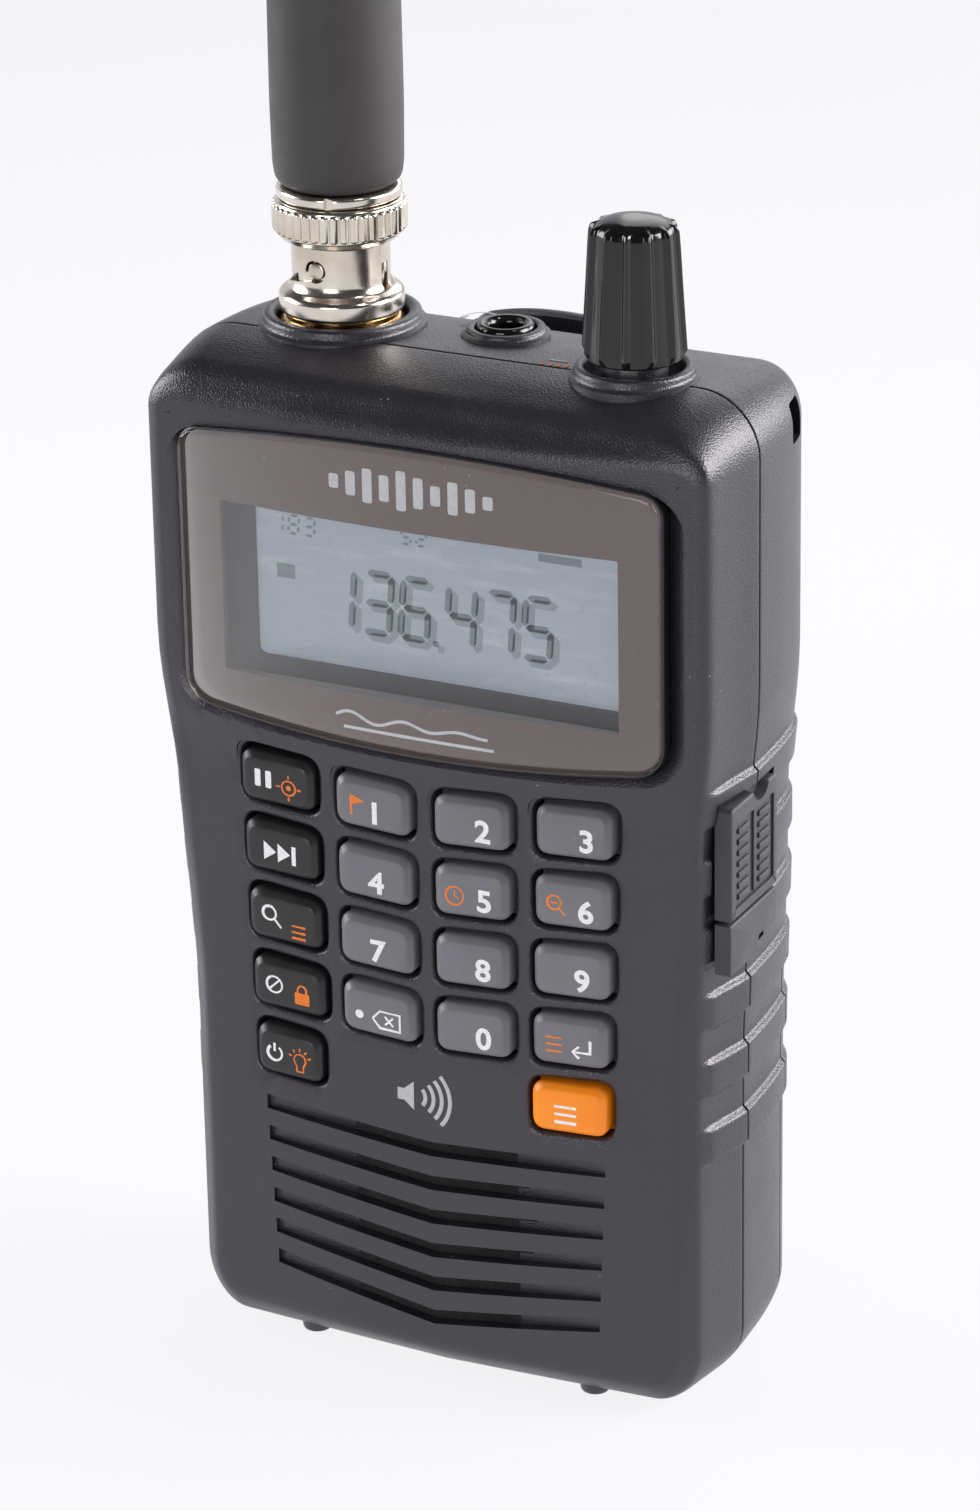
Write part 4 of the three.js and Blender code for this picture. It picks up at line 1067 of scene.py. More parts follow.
def battery_door():
    skin = boolean(rear_skin("door_shell"), [door_region(0)], "INTERSECT")
    floor = BACK_Y - 1.8
    inside = case_solid("door_inside", [
        (DOOR_Y - 2, 3.0, 2.5, 3.0, 0, 0, 0), (12.6, 4.2, 4, 4, 0, 0, 0), (floor, 7.6, 6, 7, 0, 0, 0),
    ], floor, 0)
    inside = boolean(inside, [block("above", -50, 50, -30, 40, DOOR_TOP - 1.8, 140)])
    grips = []
    for i in range(6):
        z = 32 + 1.9 * i
        half = 9 - 0.9 * i
        outline = rectangle(-half, half, z, z + 0.9, 0.44, 4)
        grips.append(plate("grip", outline, BACK_Y - 0.5, BACK_Y + 1, 0.0))
    arrow = plate("arrow", [(-3, 27.5), (0, 24), (3, 27.5)], BACK_Y - 0.4, BACK_Y + 1, 0.0)
    door = boolean(skin, [inside, *grips, arrow])
    tabs = [block("tab", x - 4, x + 4, 13.6, 14.6, DOOR_TOP - 4, DOOR_TOP + 2.2, 0.3) for x in (-13, 13)]
    door = boolean(door, tabs, "UNION")
    door.name = "door_shell"
    piece(door, "case", "door", "case_plastic", "battery_door")


# ---------------------------------------------------------------- display

def lens_face(ring, level):
    """Rings inside a lens ring, from its rim inward, that follow the bow at a level."""
    rings = []
    for s in (0.93, 0.75, 0.5, 0.25):
        shrunk = [(x * s, LENS_MIDDLE_Z + (z - LENS_MIDDLE_Z) * s) for x, _, z in ring]
        rings.append([(x, level + bow_at(x), z) for x, z in shrunk])
    return rings


def opening(outline, y0, y1):
    return loft("opening", [[(x, y, z) for x, z in outline] for y in (y0, y1)])


def lens():
    """The clear sheet with paint on its back, and a black ring round it that is painted shade for the dark
    gap at its edge.
    """
    back = LENS_PAINT_Y - 0.04
    edge = [(-0.02, back), (0.0, back - 0.02), (0.0, LENS_FRONT_Y + 0.35), (-0.12, LENS_FRONT_Y + 0.12),
            (-0.4, LENS_FRONT_Y + 0.02), (-0.9, LENS_FRONT_Y)]
    rings = [lens_ring(grow, y) for grow, y in chaikin(edge, 2)]
    sheet = loft("lens_sheet", lens_face(rings[0], back)[::-1] + rings + lens_face(rings[-1], LENS_FRONT_Y))
    piece(sheet, "acrylic", "radio", "lens_acrylic", "display_window")
    rings = [lens_ring(-0.05, LENS_BACK_Y, False), lens_ring(-0.05, LENS_PAINT_Y)]
    layer = loft("lens_paint", rings + lens_face(rings[-1], LENS_PAINT_Y))
    window = rectangle(-WINDOW_HALF, WINDOW_HALF, WINDOW_LOW, WINDOW_HIGH, 0.25, 4)
    boolean(layer, [opening(window, -10, -20)])
    piece(layer, "lens", "radio", "lens_acrylic")
    # Painted shade: a black ring fills the gap round the lens, where the edge lies in shade.
    rim = [(0.02, LENS_BACK_Y), (0.02, LENS_FRONT_Y + 0.75), (0.27, LENS_FRONT_Y + 0.85), (0.27, LENS_BACK_Y)]
    gap_shade = loft("lens_gap_shade", [lens_ring(grow, y) for grow, y in rim], closed=True)
    piece(gap_shade, "black", "radio", "lens_acrylic")


def display():
    """The liquid crystal panel and the frame round its lit field."""
    glass = block("lcd_glass", -26, 26, LCD_FRONT_Y, -10.1, 78.4, 102.4, 0.15)
    piece(glass, "lcd", "radio", "lcd_glass", "lcd_panel")
    edge = rectangle(-25, 25, 79, 102, 0.4, 4)
    bezel = plate("lcd_frame", edge, LCD_FRONT_Y - 0.5, LCD_FRONT_Y - 0.05, 0.05)
    boolean(bezel, [opening(rectangle(-21.0, 22.9, 82.0, 100.6, 1.0, 5), -20, -5)])
    piece(bezel, "lcd_frame", "radio", "lcd_glass")


SEGMENTS = {
    "0": "abcdef", "1": "bc", "2": "abged", "3": "abgcd", "4": "fgbc", "5": "afgcd",
    "6": "afgedc", "7": "abc", "8": "abcdefg", "9": "abcdfg",
}


def segment_shapes(digit, x, z, w, h, stroke):
    """The lit bars of one seven-segment digit, whose lower left corner is at (x, z)."""
    lean = 0.08
    g = 0.16
    s = stroke / 2
    mid = z + h / 2

    def bar(x0, z0, x1, z1):
        if abs(x1 - x0) > abs(z1 - z0):
            pts = [(x0 + g, z0), (x0 + g + s, z0 + s), (x1 - g - s, z0 + s),
                   (x1 - g, z0), (x1 - g - s, z0 - s), (x0 + g + s, z0 - s)]
        else:
            pts = [(x0, z0 + g), (x0 + s, z0 + g + s), (x0 + s, z1 - g - s),
                   (x0, z1 - g), (x0 - s, z1 - g - s), (x0 - s, z0 + g + s)]
        return [(px + (pz - z) * lean, pz) for px, pz in pts]

    bars = {
        "a": bar(x, z + h, x + w, z + h),
        "g": bar(x, mid, x + w, mid),
        "d": bar(x, z, x + w, z),
        "f": bar(x, mid, x, z + h),
        "e": bar(x, z, x, mid),
        "b": bar(x + w, mid, x + w, z + h),
        "c": bar(x + w, z, x + w, mid),
    }
    return [bars[name] for name in SEGMENTS[digit]]


def display_marks():
    """A made-up number on the panel, its small flags, and a painted soft shadow under them."""
    shapes = []
    x = -12.9
    for symbol in "136.475":
        if symbol == ".":
            shapes.append([(x - 0.6, 85.9), (x, 85.9), (x, 86.5), (x - 0.6, 86.5)])
            x += 0.9
        else:
            shapes += segment_shapes(symbol, x, 86.4, 3.1, 6.7, 0.8)
            x += 4.5
    small = []
    for i, digit in enumerate("183"):
        small += segment_shapes(digit, -19.0 + i * 1.9, 96.2, 1.2, 2.0, 0.35)
    small.append([(-18.6, 91.0), (-16.4, 91.0), (-16.4, 92.6), (-18.6, 92.6)])
    small += segment_shapes("5", -3.6, 97.0, 1.1, 1.5, 0.3)
    small += segment_shapes("2", -1.8, 97.0, 1.1, 1.5, 0.3)
    small.append([(12.5, 97.4), (17.5, 97.4), (17.5, 98.3), (12.5, 98.3)])
    parts = [plate("mark", s, LCD_FRONT_Y - 0.045, LCD_FRONT_Y - 0.02, 0.0) for s in shapes + small]
    piece(joined("lcd_marks", parts), "segment", "radio", "lcd_glass")
    # Painted shadow: faint dark copies of the bars, moved down and to the right, stand in for the shadow they
    # cast.
    painted_shadows = []
    for s in shapes:
        moved = [(px + 0.6, pz - 0.55) for px, pz in offset_outline(s, -0.1)]
        painted_shadows.append(plate("painted_shadow", moved, LCD_FRONT_Y - 0.012, LCD_FRONT_Y - 0.01, 0.0))
    piece(joined("lcd_shadows", painted_shadows), "painted_shadow", "radio", "lcd_glass")


# ---------------------------------------------------------------- keys and printed marks

def key_body(name, finish):
    """A key from its hidden flange to its face: rows of (width, height, corner, y)."""
    base_w, base_h = KEY_BASE
    face_w, face_h = KEY_FACE
    flange = [(base_w + 1.2, base_h + 0.8, 1.4, -11.7), (base_w + 1.2, base_h + 0.8, 1.4, -12.1),
              (base_w, base_h, 1.5, -12.2)]
    cap = [
        (base_w, base_h, 1.5, FACE_Y - 0.05),
        (base_w - 0.15, base_h - 0.15, 1.5, FACE_Y - 0.3),
        (face_w + 0.3, face_h + 0.3, 1.35, KEY_FACE_Y + 0.24),
        (face_w - 0.1, face_h - 0.1, 1.3, KEY_FACE_Y + 0.02),
        (face_w - 0.8, face_h - 0.8, 1.1, KEY_FACE_Y - 0.03),
    ]
    rows = flange + chaikin(cap, 2) + [(face_w * 0.5, face_h * 0.5, 0.7, KEY_FACE_Y - 0.07)]
    bow = bow_at(key_centre(name)[0])
    rings = [[(x, y + bow, z) for x, z in key_outline(name, w, h, r)] for w, h, r, y in rows]
    piece(loft(name + "_cap", rings), finish, name, "key_" + finish, name)


def curve_mesh(name, curve):
    """The mesh of a curve, worked out through a passing object."""
    obj = in_scene(name, curve)
    mesh = as_mesh(obj)
    bpy.data.objects.remove(obj)
    return mesh


def strokes(name, lines, width, y_at, thick=0.035):
    """Rounded pen strokes along polylines of (x, z), pressed flat onto a surface at y_at(x, z)."""
    curve = bpy.data.curves.new(name, "CURVE")
    curve.dimensions = "3D"
    curve.bevel_depth = width / 2 * MM
    curve.bevel_resolution = 3
    curve.use_fill_caps = True
    for line in lines:
        spline = curve.splines.new("POLY")
        spline.points.add(len(line) - 1)
        for point, (x, z) in zip(spline.points, line):
            point.co = (x * MM, 0, z * MM, 1)
    mesh = curve_mesh(name, curve)
    for vertex in mesh.vertices:
        x, y, z = vertex.co
        lift = y / (width / 2 * MM) * thick * MM
        vertex.co.y = lift + (y_at(x / MM, z / MM) - MIDDLE_Y) * MM
    finish_mesh(mesh, 50)
    return in_scene(name, mesh)


def fill(outline, y_at):
    """A thin printed patch with an outline of (x, z)."""
    front = [(x, y_at(x, z) - 0.03, z) for x, z in outline]
    back = [(x, y_at(x, z) + 0.05, z) for x, z in outline]
    return loft("patch", [back, front])


def glyph(text, x, z, height, y_at):
    """A generic figure, centred at (x, z), as thin raised print, a little bolder and wider than the font."""
    bold = 0.1
    across = 1.08
    curve = bpy.data.curves.new("figure", "FONT")
    curve.body = text
    curve.align_x = "CENTER"
    curve.align_y = "CENTER"
    curve.size = height * 1.42 * MM
    curve.offset = bold * height * 0.4 * MM
    curve.extrude = 0.03 * MM
    curve.resolution_u = 6
    mesh = curve_mesh("figure", curve)
    xs = [v.co.x for v in mesh.vertices]
    zs = [v.co.y for v in mesh.vertices]
    mid_x, mid_z = (min(xs) + max(xs)) / 2, (min(zs) + max(zs)) / 2
    for vertex in mesh.vertices:
        px = (vertex.co.x - mid_x) * across + x * MM
        pz = vertex.co.y - mid_z + z * MM
        py = (y_at(px / MM, pz / MM) - MIDDLE_Y) * MM - vertex.co.z
        vertex.co = (px, py, pz)
    finish_mesh(mesh, 40)
    return in_scene("figure", mesh)


FIGURE_HEIGHT = 2.45
FIGURE_X = {
    "key_1": 0.5, "key_4": 0.4, "key_7": 0.4, "key_2": 1.6, "key_5": 1.7, "key_8": 1.5, "key_0": 1.5,
    "key_3": 1.7, "key_6": 1.8, "key_9": 1.5,
}


def circle(x, z, radius):
    return arc(x, z, radius, 0, 360, 24)


def disc(x, z, radius):
    """The outline of a filled dot."""
    return arc(x, z, radius, 0, 345, 15)


def beams(x, z, near, far, angles):
    """Short rays round a centre, between two radii."""
    rays = []
    for degrees in angles:
        a = math.radians(degrees)
        rays.append([(x + r * math.cos(a), z + r * math.sin(a)) for r in (near, far)])
    return rays


def bars_at(x0, x1, heights):
    return [[(x0, z), (x1, z)] for z in heights]


class KeyPrint:
    """The printed parts of all keys, drawn in each key's own frame and kept apart by ink."""

    def __init__(self):
        self.parts = {(name, ink): [] for name in KEYS for ink in ("white_ink", "orange_ink")}

    def spot(self, name):
        """A function from a key's own (x, z) to the drawing's, and one for the level of its face."""
        x0, z0 = key_centre(name)
        lean = key_lean(x0)
        level = KEY_FACE_Y - 0.045 + bow_at(x0)
        if name == "key_power":
            x0 -= POWER_NARROWER / 2

        def to(x, z):
            return x0 + x, z0 + z + lean * x

        return to, lambda x, z: level

    def figure(self, name, x):
        to, level = self.spot(name)
        self.parts[name, "white_ink"].append(glyph(name[-1], *to(x, -0.6), FIGURE_HEIGHT, level))

    def pen(self, name, ink, width, *lines):
        to, level = self.spot(name)
        moved = [[to(x, z) for x, z in line] for line in lines]
        self.parts[name, ink].append(strokes("pen", moved, width, level))

    def patch(self, name, ink, *outlines):
        to, level = self.spot(name)
        for outline in outlines:
            self.parts[name, ink].append(fill([to(x, z) for x, z in outline], level))

    def finish(self):
        """Joins each key's printed parts into one piece per ink, moving with the key."""
        for (name, ink), parts in self.parts.items():
            if parts:
                piece(joined(f"{name}_{ink}", parts), ink, name, "key_" + KEYS[name])


def function_key_marks(marks):
    """Signs on the five dark keys."""
    white, orange = "white_ink", "orange_ink"
    marks.patch("key_pause", white, *[rectangle(x, x + 0.7, -0.9, 1.1, 0.15, 2) for x in (-2.5, -1.2)])
    rays = beams(1.6, -0.4, 1.05, 1.5, (0, 90, 180, 270))
    marks.pen("key_pause", orange, 0.26, circle(1.6, -0.4, 0.82), *rays)
    marks.patch("key_pause", orange, disc(1.6, -0.4, 0.3))
    marks.patch("key_scan", white, *[[(x, -1.3), (x + 1.5, -0.2), (x, 0.9)] for x in (-1.9, -0.2)])
    marks.patch("key_scan", white, [(1.5, -1.3), (2.0, -1.3), (2.0, 0.9), (1.5, 0.9)])
    marks.pen("key_search", white, 0.38, circle(-1.7, 0.5, 0.8), [(-1.1, -0.1), (-0.3, -1.0)])
    marks.pen("key_search", orange, 0.3, *bars_at(1.0, 2.7, (-0.4, -1.1, -1.8)))
    marks.pen("key_lock", white, 0.34, circle(-1.6, 0.1, 0.95), [(-2.2, -0.5), (-1.0, 0.7)])
    marks.patch("key_lock", orange, rectangle(0.9, 2.7, -1.6, -0.2, 0.2, 3))
    marks.pen("key_lock", orange, 0.3, [(1.25, -0.2), *arc(1.8, 0.15, 0.52, 180, 0, 10), (2.32, -0.2)])
    marks.pen("key_power", white, 0.4, arc(-1.6, -0.1, 0.88, 125, 415, 24), [(-1.6, 0.1), (-1.6, 1.1)])
    dome = arc(1.5, -0.3, 0.72, 215, -35)
    bulb = [(1.1, -1.7), (1.1, -1.1), *dome, (1.9, -1.1), (1.9, -1.7), (1.1, -1.7)]
    rays = beams(1.5, -0.3, 1.05, 1.45, (20, 55, 90, 125, 160))
    marks.pen("key_power", orange, 0.24, bulb, *rays)


def number_key_marks(marks):
    """Figures and signs on the grey keys and the orange one."""
    white, orange = "white_ink", "orange_ink"
    for name, x in FIGURE_X.items():
        marks.figure(name, x)
    marks.pen("key_1", orange, 0.3, [(-2.3, -1.3), (-2.3, 1.0)])
    marks.patch("key_1", orange, [(-2.2, 1.0), (-0.7, 0.5), (-2.2, -0.1)])
    marks.pen("key_5", orange, 0.28, circle(-1.8, -0.3, 1.05), [(-1.8, 0.3), (-1.8, -0.3), (-1.3, -0.6)])
    handle = [(-1.35, -0.5), (-0.6, -1.3)]
    marks.pen("key_6", orange, 0.3, circle(-1.9, 0.1, 0.8), handle, [(-2.3, 0.1), (-1.5, 0.1)])
    marks.patch("key_clear", white, disc(-2.2, -0.5, 0.5))
    tag = [(-0.6, -0.6), (0.3, 0.4), (2.7, 0.4), (2.7, -1.6), (0.3, -1.6), (-0.6, -0.6)]
    marks.pen("key_clear", white, 0.36, tag, [(0.9, -0.1), (1.9, -1.1)], [(1.9, -0.1), (0.9, -1.1)])
    marks.pen("key_enter", orange, 0.3, *bars_at(-2.6, -0.7, (0.5, -0.3, -1.1)))
    tip = [(1.3, -0.2), (0.5, -0.9), (1.3, -1.6)]
    marks.pen("key_enter", white, 0.42, [(2.6, 0.6), (2.6, -0.9), (0.6, -0.9)], tip)
    marks.pen("key_function", white, 0.46, *bars_at(-1.5, 1.1, (0.45, -0.45, -1.35)))


def key_marks():
    marks = KeyPrint()
    function_key_marks(marks)
    number_key_marks(marks)
    marks.finish()


def case_prints():
    """Plain generic shapes where the real object carries its names and symbols."""
    def on_lens(x, z):
        return LENS_PAINT_Y + 0.015 + bow_at(x)

    def on_face(x, z):
        return FACE_Y - 0.005 + bow_at(x)

    bars = []
    for i, h in enumerate((1.6, 2.7, 3.8, 2.9, 4.4, 3.4, 2.2, 3.6, 2.6, 1.5)):
        x = -9.6 + 2.0 * i
        bars.append(fill(rectangle(x, x + 1.15, 104.7 - h / 2, 104.7 + h / 2, 0.3, 3), on_lens))
    piece(joined("lens_bars", bars), "white_ink", "radio", "lens_acrylic")
    wave = []
    for i in range(61):
        swing = 0.62 * math.sin(i / 60 * 5.5 * math.pi) * (1 - i / 75)
        wave.append((-9.5 + 18 * i / 60, 78.35 + swing))
    base = [(-8.6 + 17.8 * i / 12, 77.1) for i in range(13)]
    piece(strokes("lens_wave", [wave, base], 0.38, on_lens), "white_ink", "radio", "lens_acrylic")

    horn = [(-3.9, 33.5), (-3.1, 33.5), (-1.9, 32.5), (-1.9, 35.9), (-3.1, 34.9), (-3.9, 34.9)]
    waves = [arc(-1.9, 34.2, r, -42, 42, 12) for r in (1.4, 2.4, 3.4, 4.4)]
    signs = [fill(horn[::-1], on_face), strokes("pen", waves, 0.5, on_face)]
    piece(joined("speaker_sign", signs), "grey_ink", "radio", "case_plastic")


def top_prints():
    """A headphone sign by the phone socket and a level sign by the knob, on the top face."""
    def flat_strokes(name, lines, width):
        """Strokes drawn in (x, y) and laid on the top face."""
        obj = strokes(name, lines, width, lambda x, z: 0.0, 0.03)
        for vertex in obj.data.vertices:
            x, y, z = vertex.co
            vertex.co = (x, z - MIDDLE_Y * MM, TOP_Z * MM - (y + MIDDLE_Y * MM) + 0.00001)
        finish_mesh(obj.data, 50)
        return obj

    x, y = PHONE_X - 4.6, PHONE_Y + 3.4
    band = arc(x, y, 1.8, 180, 0, 16)
    cups = [[(side, y - 0.1), (side, y - 0.9)] for side in (x - 1.8, x + 1.8)]
    signs = [flat_strokes("pen", [band], 0.3), flat_strokes("pen", cups, 0.75)]
    piece(joined("phone_sign", signs), "grey_ink", "radio", "case_plastic")
    x, y = KNOB_X - 8.6, KNOB_Y - 0.6
    level = [[(x - 1.6, y + 1.4), (x + 0.6, y + 1.4)]]
    piece(flat_strokes("level_sign", level, 0.28), "grey_ink", "radio", "case_plastic")
    dots = [[(x - 1.7 + 0.9 * i, y - 0.3), (x - 1.7 + 0.9 * i, y + 0.1 + 0.18 * i)] for i in range(4)]
    piece(flat_strokes("step_sign", dots, 0.32), "orange_ink", "radio", "case_plastic")


# ---------------------------------------------------------------- aerial, socket and knob

def above_top(rows):
    """Profile rows of (radius, height above the top face, corner) with drawing heights."""
    return [(row[0], TOP_Z + row[1], *row[2:]) for row in rows]


def aerial():
    low = TOP_Z + 15.4
    profile = rounded([
        (3.1, low + 6, 0), (3.1, low, 0.1), (5.9, low, 0.3), (6.75, low + 0.7, 0.6), (7.0, low + 2.2, 1.0),
        (7.12, low + 9, 2), (7.0, low + 30, 8), (6.1, low + 80, 10), (4.9, AERIAL_TOP - 8, 5),
        (4.4, AERIAL_TOP - 2.6, 1.4), (2.6, AERIAL_TOP - 0.3, 1.2), (0, AERIAL_TOP, 0), (0, low + 6, 0),
    ], 1.0, 6)
    sleeve = lathe("aerial_cover", profile[:-1], AERIAL_X, AERIAL_Y, 96)
    piece(sleeve, "aerial", "aerial", "aerial_rubber", "aerial_sleeve")
    plug = rounded(above_top([
        (0, 2.2), (3.5, 2.2), (3.5, 9.9), (4.4, 10.3), (4.4, 14.25), (6.5, 14.0),
        (6.75, 14.3), (6.75, 15.1), (6.45, 15.3), (3.0, 15.3), (3.0, 24), (0, 24),
    ]), 0.18, 3)
    collar = lathe("aerial_ferrule", plug, AERIAL_X, AERIAL_Y, 96)
    notch = block("notch", AERIAL_X + 1.6, AERIAL_X + 2.7, AERIAL_Y - 8, AERIAL_Y - 6.2,
                  TOP_Z + 13.7, TOP_Z + 15.6)
    boolean(collar, [notch])
    piece(collar, "nickel", "aerial", "nickel_plate", "aerial_plug")


def coupling():
    profile = rounded(above_top([
        (4.85, 1.3), (6.3, 1.3), (6.75, 1.75), (6.75, 3.35), (6.45, 3.7), (5.75, 4.05),
        (5.3, 4.7, 0.5), (5.3, 9.3), (6.3, 9.55), (6.8, 10.1), (7.0, 10.3), (7.0, 13.6),
        (6.7, 13.9), (4.75, 13.9), (4.75, 10.2), (4.95, 9.9),
    ]), 0.16, 3, True)
    sleeve = lathe("lock_sleeve", profile, AERIAL_X, AERIAL_Y, 128, closed=True)
    teeth = 40

    def knurl(angle, radius, along):
        if radius < 6:
            return radius
        t = (angle * teeth / (2 * math.pi)) % 1.0
        ridge = 1 - abs(2 * t - 1)
        return radius + 0.3 * min(1.0, ridge * 1.5)

    band = rounded(above_top([(6.6, 10.35), (6.95, 10.6, 0.15), (6.98, 13.3, 0.15), (6.6, 13.6)]), 0.2, 3)
    ridges = [(5.5, TOP_Z + 10.35), *band, (5.5, TOP_Z + 13.6)]
    grip = lathe("grip", ridges, AERIAL_X, AERIAL_Y, teeth * 8, closed=True, wave=knurl)
    boolean(sleeve, [grip], "UNION", 28)
    holes = []
    for azimuth in LUG_AZIMUTHS:
        holes.append(radial_pin("hole", azimuth, COUPLING_BORE, 1.25, 3.2))
        groove = [(azimuth + 14 - 112 * i / 12, LUG_Z - 1.1, LUG_Z + 1.1) for i in range(13)]
        holes.append(wall_cut("groove", groove, 5.18))
        track = []
        for i in range(11):
            low = LUG_Z - 0.9 - 0.16 * i
            track.append((azimuth - 7 * i, low, low + 0.95))
        holes.append(wall_cut("track", track, 6.2))
        entry = [(azimuth + 86 + 14 * i / 4, LUG_Z - 2.6, LUG_Z + 0.4) for i in range(5)]
        holes.append(wall_cut("entry", entry, 6.2))
    boolean(sleeve, holes, sharp=28)
    piece(sleeve, "nickel", "coupling", "nickel_plate", "aerial_coupling")


def wall_cut(name, path, outer):
    """A cut from the coupling's bore out to a radius. The path holds (azimuth in degrees, low, high)."""
    rings = []
    for azimuth, low, high in path:
        t = math.radians(azimuth)
        corners = ((COUPLING_BORE, low), (COUPLING_BORE, high), (outer, high), (outer, low))
        rings.append([(AERIAL_X + r * math.sin(t), AERIAL_Y - r * math.cos(t), z) for r, z in corners])
    return loft(name, rings)


def radial_pin(name, azimuth, inner, radius, length, edge=0.0):
    """A short cylinder at the bayonet lugs' height that runs outward from a distance to the aerial's axis."""
    a = math.radians(azimuth)
    direction = Vector((math.sin(a), -math.cos(a), 0))
    start = Vector((AERIAL_X, AERIAL_Y, LUG_Z)) + direction * inner
    side = direction.cross(Vector((0, 0, 1))).normalized()
    up = side.cross(direction)
    steps = [(radius, 0.0), (radius, length - edge)]
    if edge:
        steps += [(radius - edge * 0.3, length - edge * 0.3), (radius - edge, length)]
    rings = []
    for r, along in steps:
        ring = []
        for i in range(28):
            a = 2 * math.pi * i / 28
            ring.append(tuple(start + direction * along + (side * math.cos(a) + up * math.sin(a)) * r))
        rings.append(ring)
    return loft(name, rings)


def socket():
    profile = rounded([
        (0, 104), (4.4, 104), (4.4, 108), (6.4, 108), (6.4, 109.8), (4.6, 109.8), (4.6, TOP_Z + 9.3),
        (3.9, TOP_Z + 9.3), (3.9, TOP_Z + 1), (0, TOP_Z + 1),
    ], 0.15, 3)
    barrel = lathe("socket_barrel", profile, AERIAL_X, AERIAL_Y, 72)
    pins = [radial_pin("pin", azimuth, 4.0, 0.95, 1.1, 0.15) for azimuth in LUG_AZIMUTHS]
    boolean(barrel, pins, "UNION")
    piece(barrel, "nickel", "radio", "nickel_plate", "aerial_socket")
    low = TOP_Z - 0.6
    rim = rounded([(4.85, low), (6.3, low), (6.75, low + 0.4), (6.75, low + 0.9), (6.2, low + 1.5),
                   (4.85, low + 1.5)], 0.2, 4, True)
    nut = lathe("socket_collar", rim, AERIAL_X, AERIAL_Y, 72, closed=True)
    piece(nut, "brass", "radio", "brass_plate", "socket_nut")


def knob():
    ribs = 12

    def fluted(angle, radius, along):
        if along < TOP_Z + 2.2 or along > TOP_Z + 16.55:
            return radius
        t = (angle * ribs / (2 * math.pi)) % 1.0
        rib = smooth(1 - abs(2 * t - 1) * 2.1)
        fade = smooth((along - TOP_Z - 1.9) / 0.8) * smooth((TOP_Z + 16.6 - along) / 0.5)
        return radius + (0.5 * rib - 0.08) * fade

    profile = rounded(above_top([
        (0, 12.9, 0), (2.9, 12.9), (2.9, 3.2), (4.5, 3.2), (4.5, 2.0), (5.1, 1.9, 0.3),
        (5.15, 3.0, 0.1), (4.95, 6, 0.2), (4.7, 10, 0.2), (4.5, 13.5, 0.2), (4.35, 15.6, 0.3),
        (4.1, 16.2, 0.5), (3.0, 16.75, 0.8), (1.4, 17.0, 0.6), (0, 17.0, 0),
    ]), 0.3, 5)
    cap = lathe("knob_cap", profile, KNOB_X, KNOB_Y, ribs * 16, wave=fluted)
    piece(cap, "gloss", "knob", "gloss_black", "volume_knob")


def phone_socket():
    profile = rounded([
        (1.85, 104), (3.1, 104), (3.1, TOP_Z + 0.7), (2.85, TOP_Z + 1.15, 0.3), (2.3, TOP_Z + 1.15, 0.3),
        (1.85, TOP_Z + 0.6, 0.3),
    ], 0.2, 5, True)
    sleeve = lathe("phone_collar", profile, PHONE_X, PHONE_Y, 72, closed=True)
    body = block("body", PHONE_X - 4, PHONE_X + 4, PHONE_Y - 3.6, PHONE_Y + 3.6, 101, 112.4, 0.3)
    hole = bore(PHONE_X, PHONE_Y, 2.4, 103, 113)
    boolean(body, [hole])
    piece(joined("phone_collar", [sleeve, body]), "gloss", "radio", "black_plastic", "phone_socket")


# ---------------------------------------------------------------- port cover

def port_cover():
    y0, y1 = PORT_Y
    x0 = PORT_FLOOR_X + GAP
    low, high = FLAP_Z
    outline = rounded([(y0, low), (y1, low), (y1, high, 0.9), (y0, high, 0.9)], 0.2, 5, True)
    flap = plate("cover_flap", outline, x0, PORT_OUTER_X, 0.3, "X", 4, both=False)
    notch = lathe("notch", [(0, 33.0), (1.9, 33.0), (2.6, 36), (0, 36)], 0, -3.2, 40, "X", high + 0.7)
    field = plate("field", rectangle(-9.9, 0.1, 60.9, 70.6, 0.4, 4), PORT_OUTER_X - 0.28, 40, 0.0, "X")
    boolean(flap, [notch, field])
    marks = [block("rib", 33.5, PORT_OUTER_X, -5.1, -4.7, 61.2, 70.3, 0.08)]
    for column in (-8.9, -3.6):
        for i in range(7):
            z = 61.6 + 1.25 * i
            marks.append(block("bar", 33.5, PORT_OUTER_X, column, column + 2.7, z, z + 0.62, 0.12))
    plug = block("plug", 31.4, 32.6, USB_Y - 1.7, USB_Y + 1.7, USB_Z - 3.4, USB_Z + 3.2, 0.3)
    boolean(flap, [*marks, plug], "UNION")
    piece(flap, "rubber", "port_cover", "soft_rubber", "port_flap")
    outline = rounded([(y0, ANCHOR_LOW), (-3.5, ANCHOR_LOW), (-3.5, 55.3), (y1, 55.3), (y1, low - 0.4),
                       (y0, low - 0.4)], 0.35, 4, True)
    tab = plate("cover_anchor", outline, x0, PORT_OUTER_X - 0.1, 0.25, "X", 4, both=False)
    piece(tab, "rubber", "radio", "soft_rubber", "port_anchor")


# ---------------------------------------------------------------- belt clip

# Both faces of the clip's blade, as (y, z) from its tip upward.
BLADE_OUTER = [(22.5, 50), (22.7, 66), (23.3, 101), (22.1, 108), (20.6, 116)]
BLADE_INNER = [(20.8, 50), (21.0, 66), (21.6, 101), (20.4, 108), (19.0, 116)]


def blade_depth(line, z):
    for (ya, za), (yb, zb) in zip(line, line[1:]):
        if z <= zb:
            return ya + (yb - ya) * (z - za) / (zb - za)
    return line[-1][0]


def blade_face(line, outline):
    """Rings that close a face of the blade, from near its middle outward."""
    rings = []
    for i in range(1, 13):
        rings.append([])
        for x, z in offset_outline(outline, 1.5):
            z = CLIP_MIDDLE_Z + (z - CLIP_MIDDLE_Z) * i / 12
            rings[-1].append((x * i / 12, blade_depth(line, z), z))
    return rings


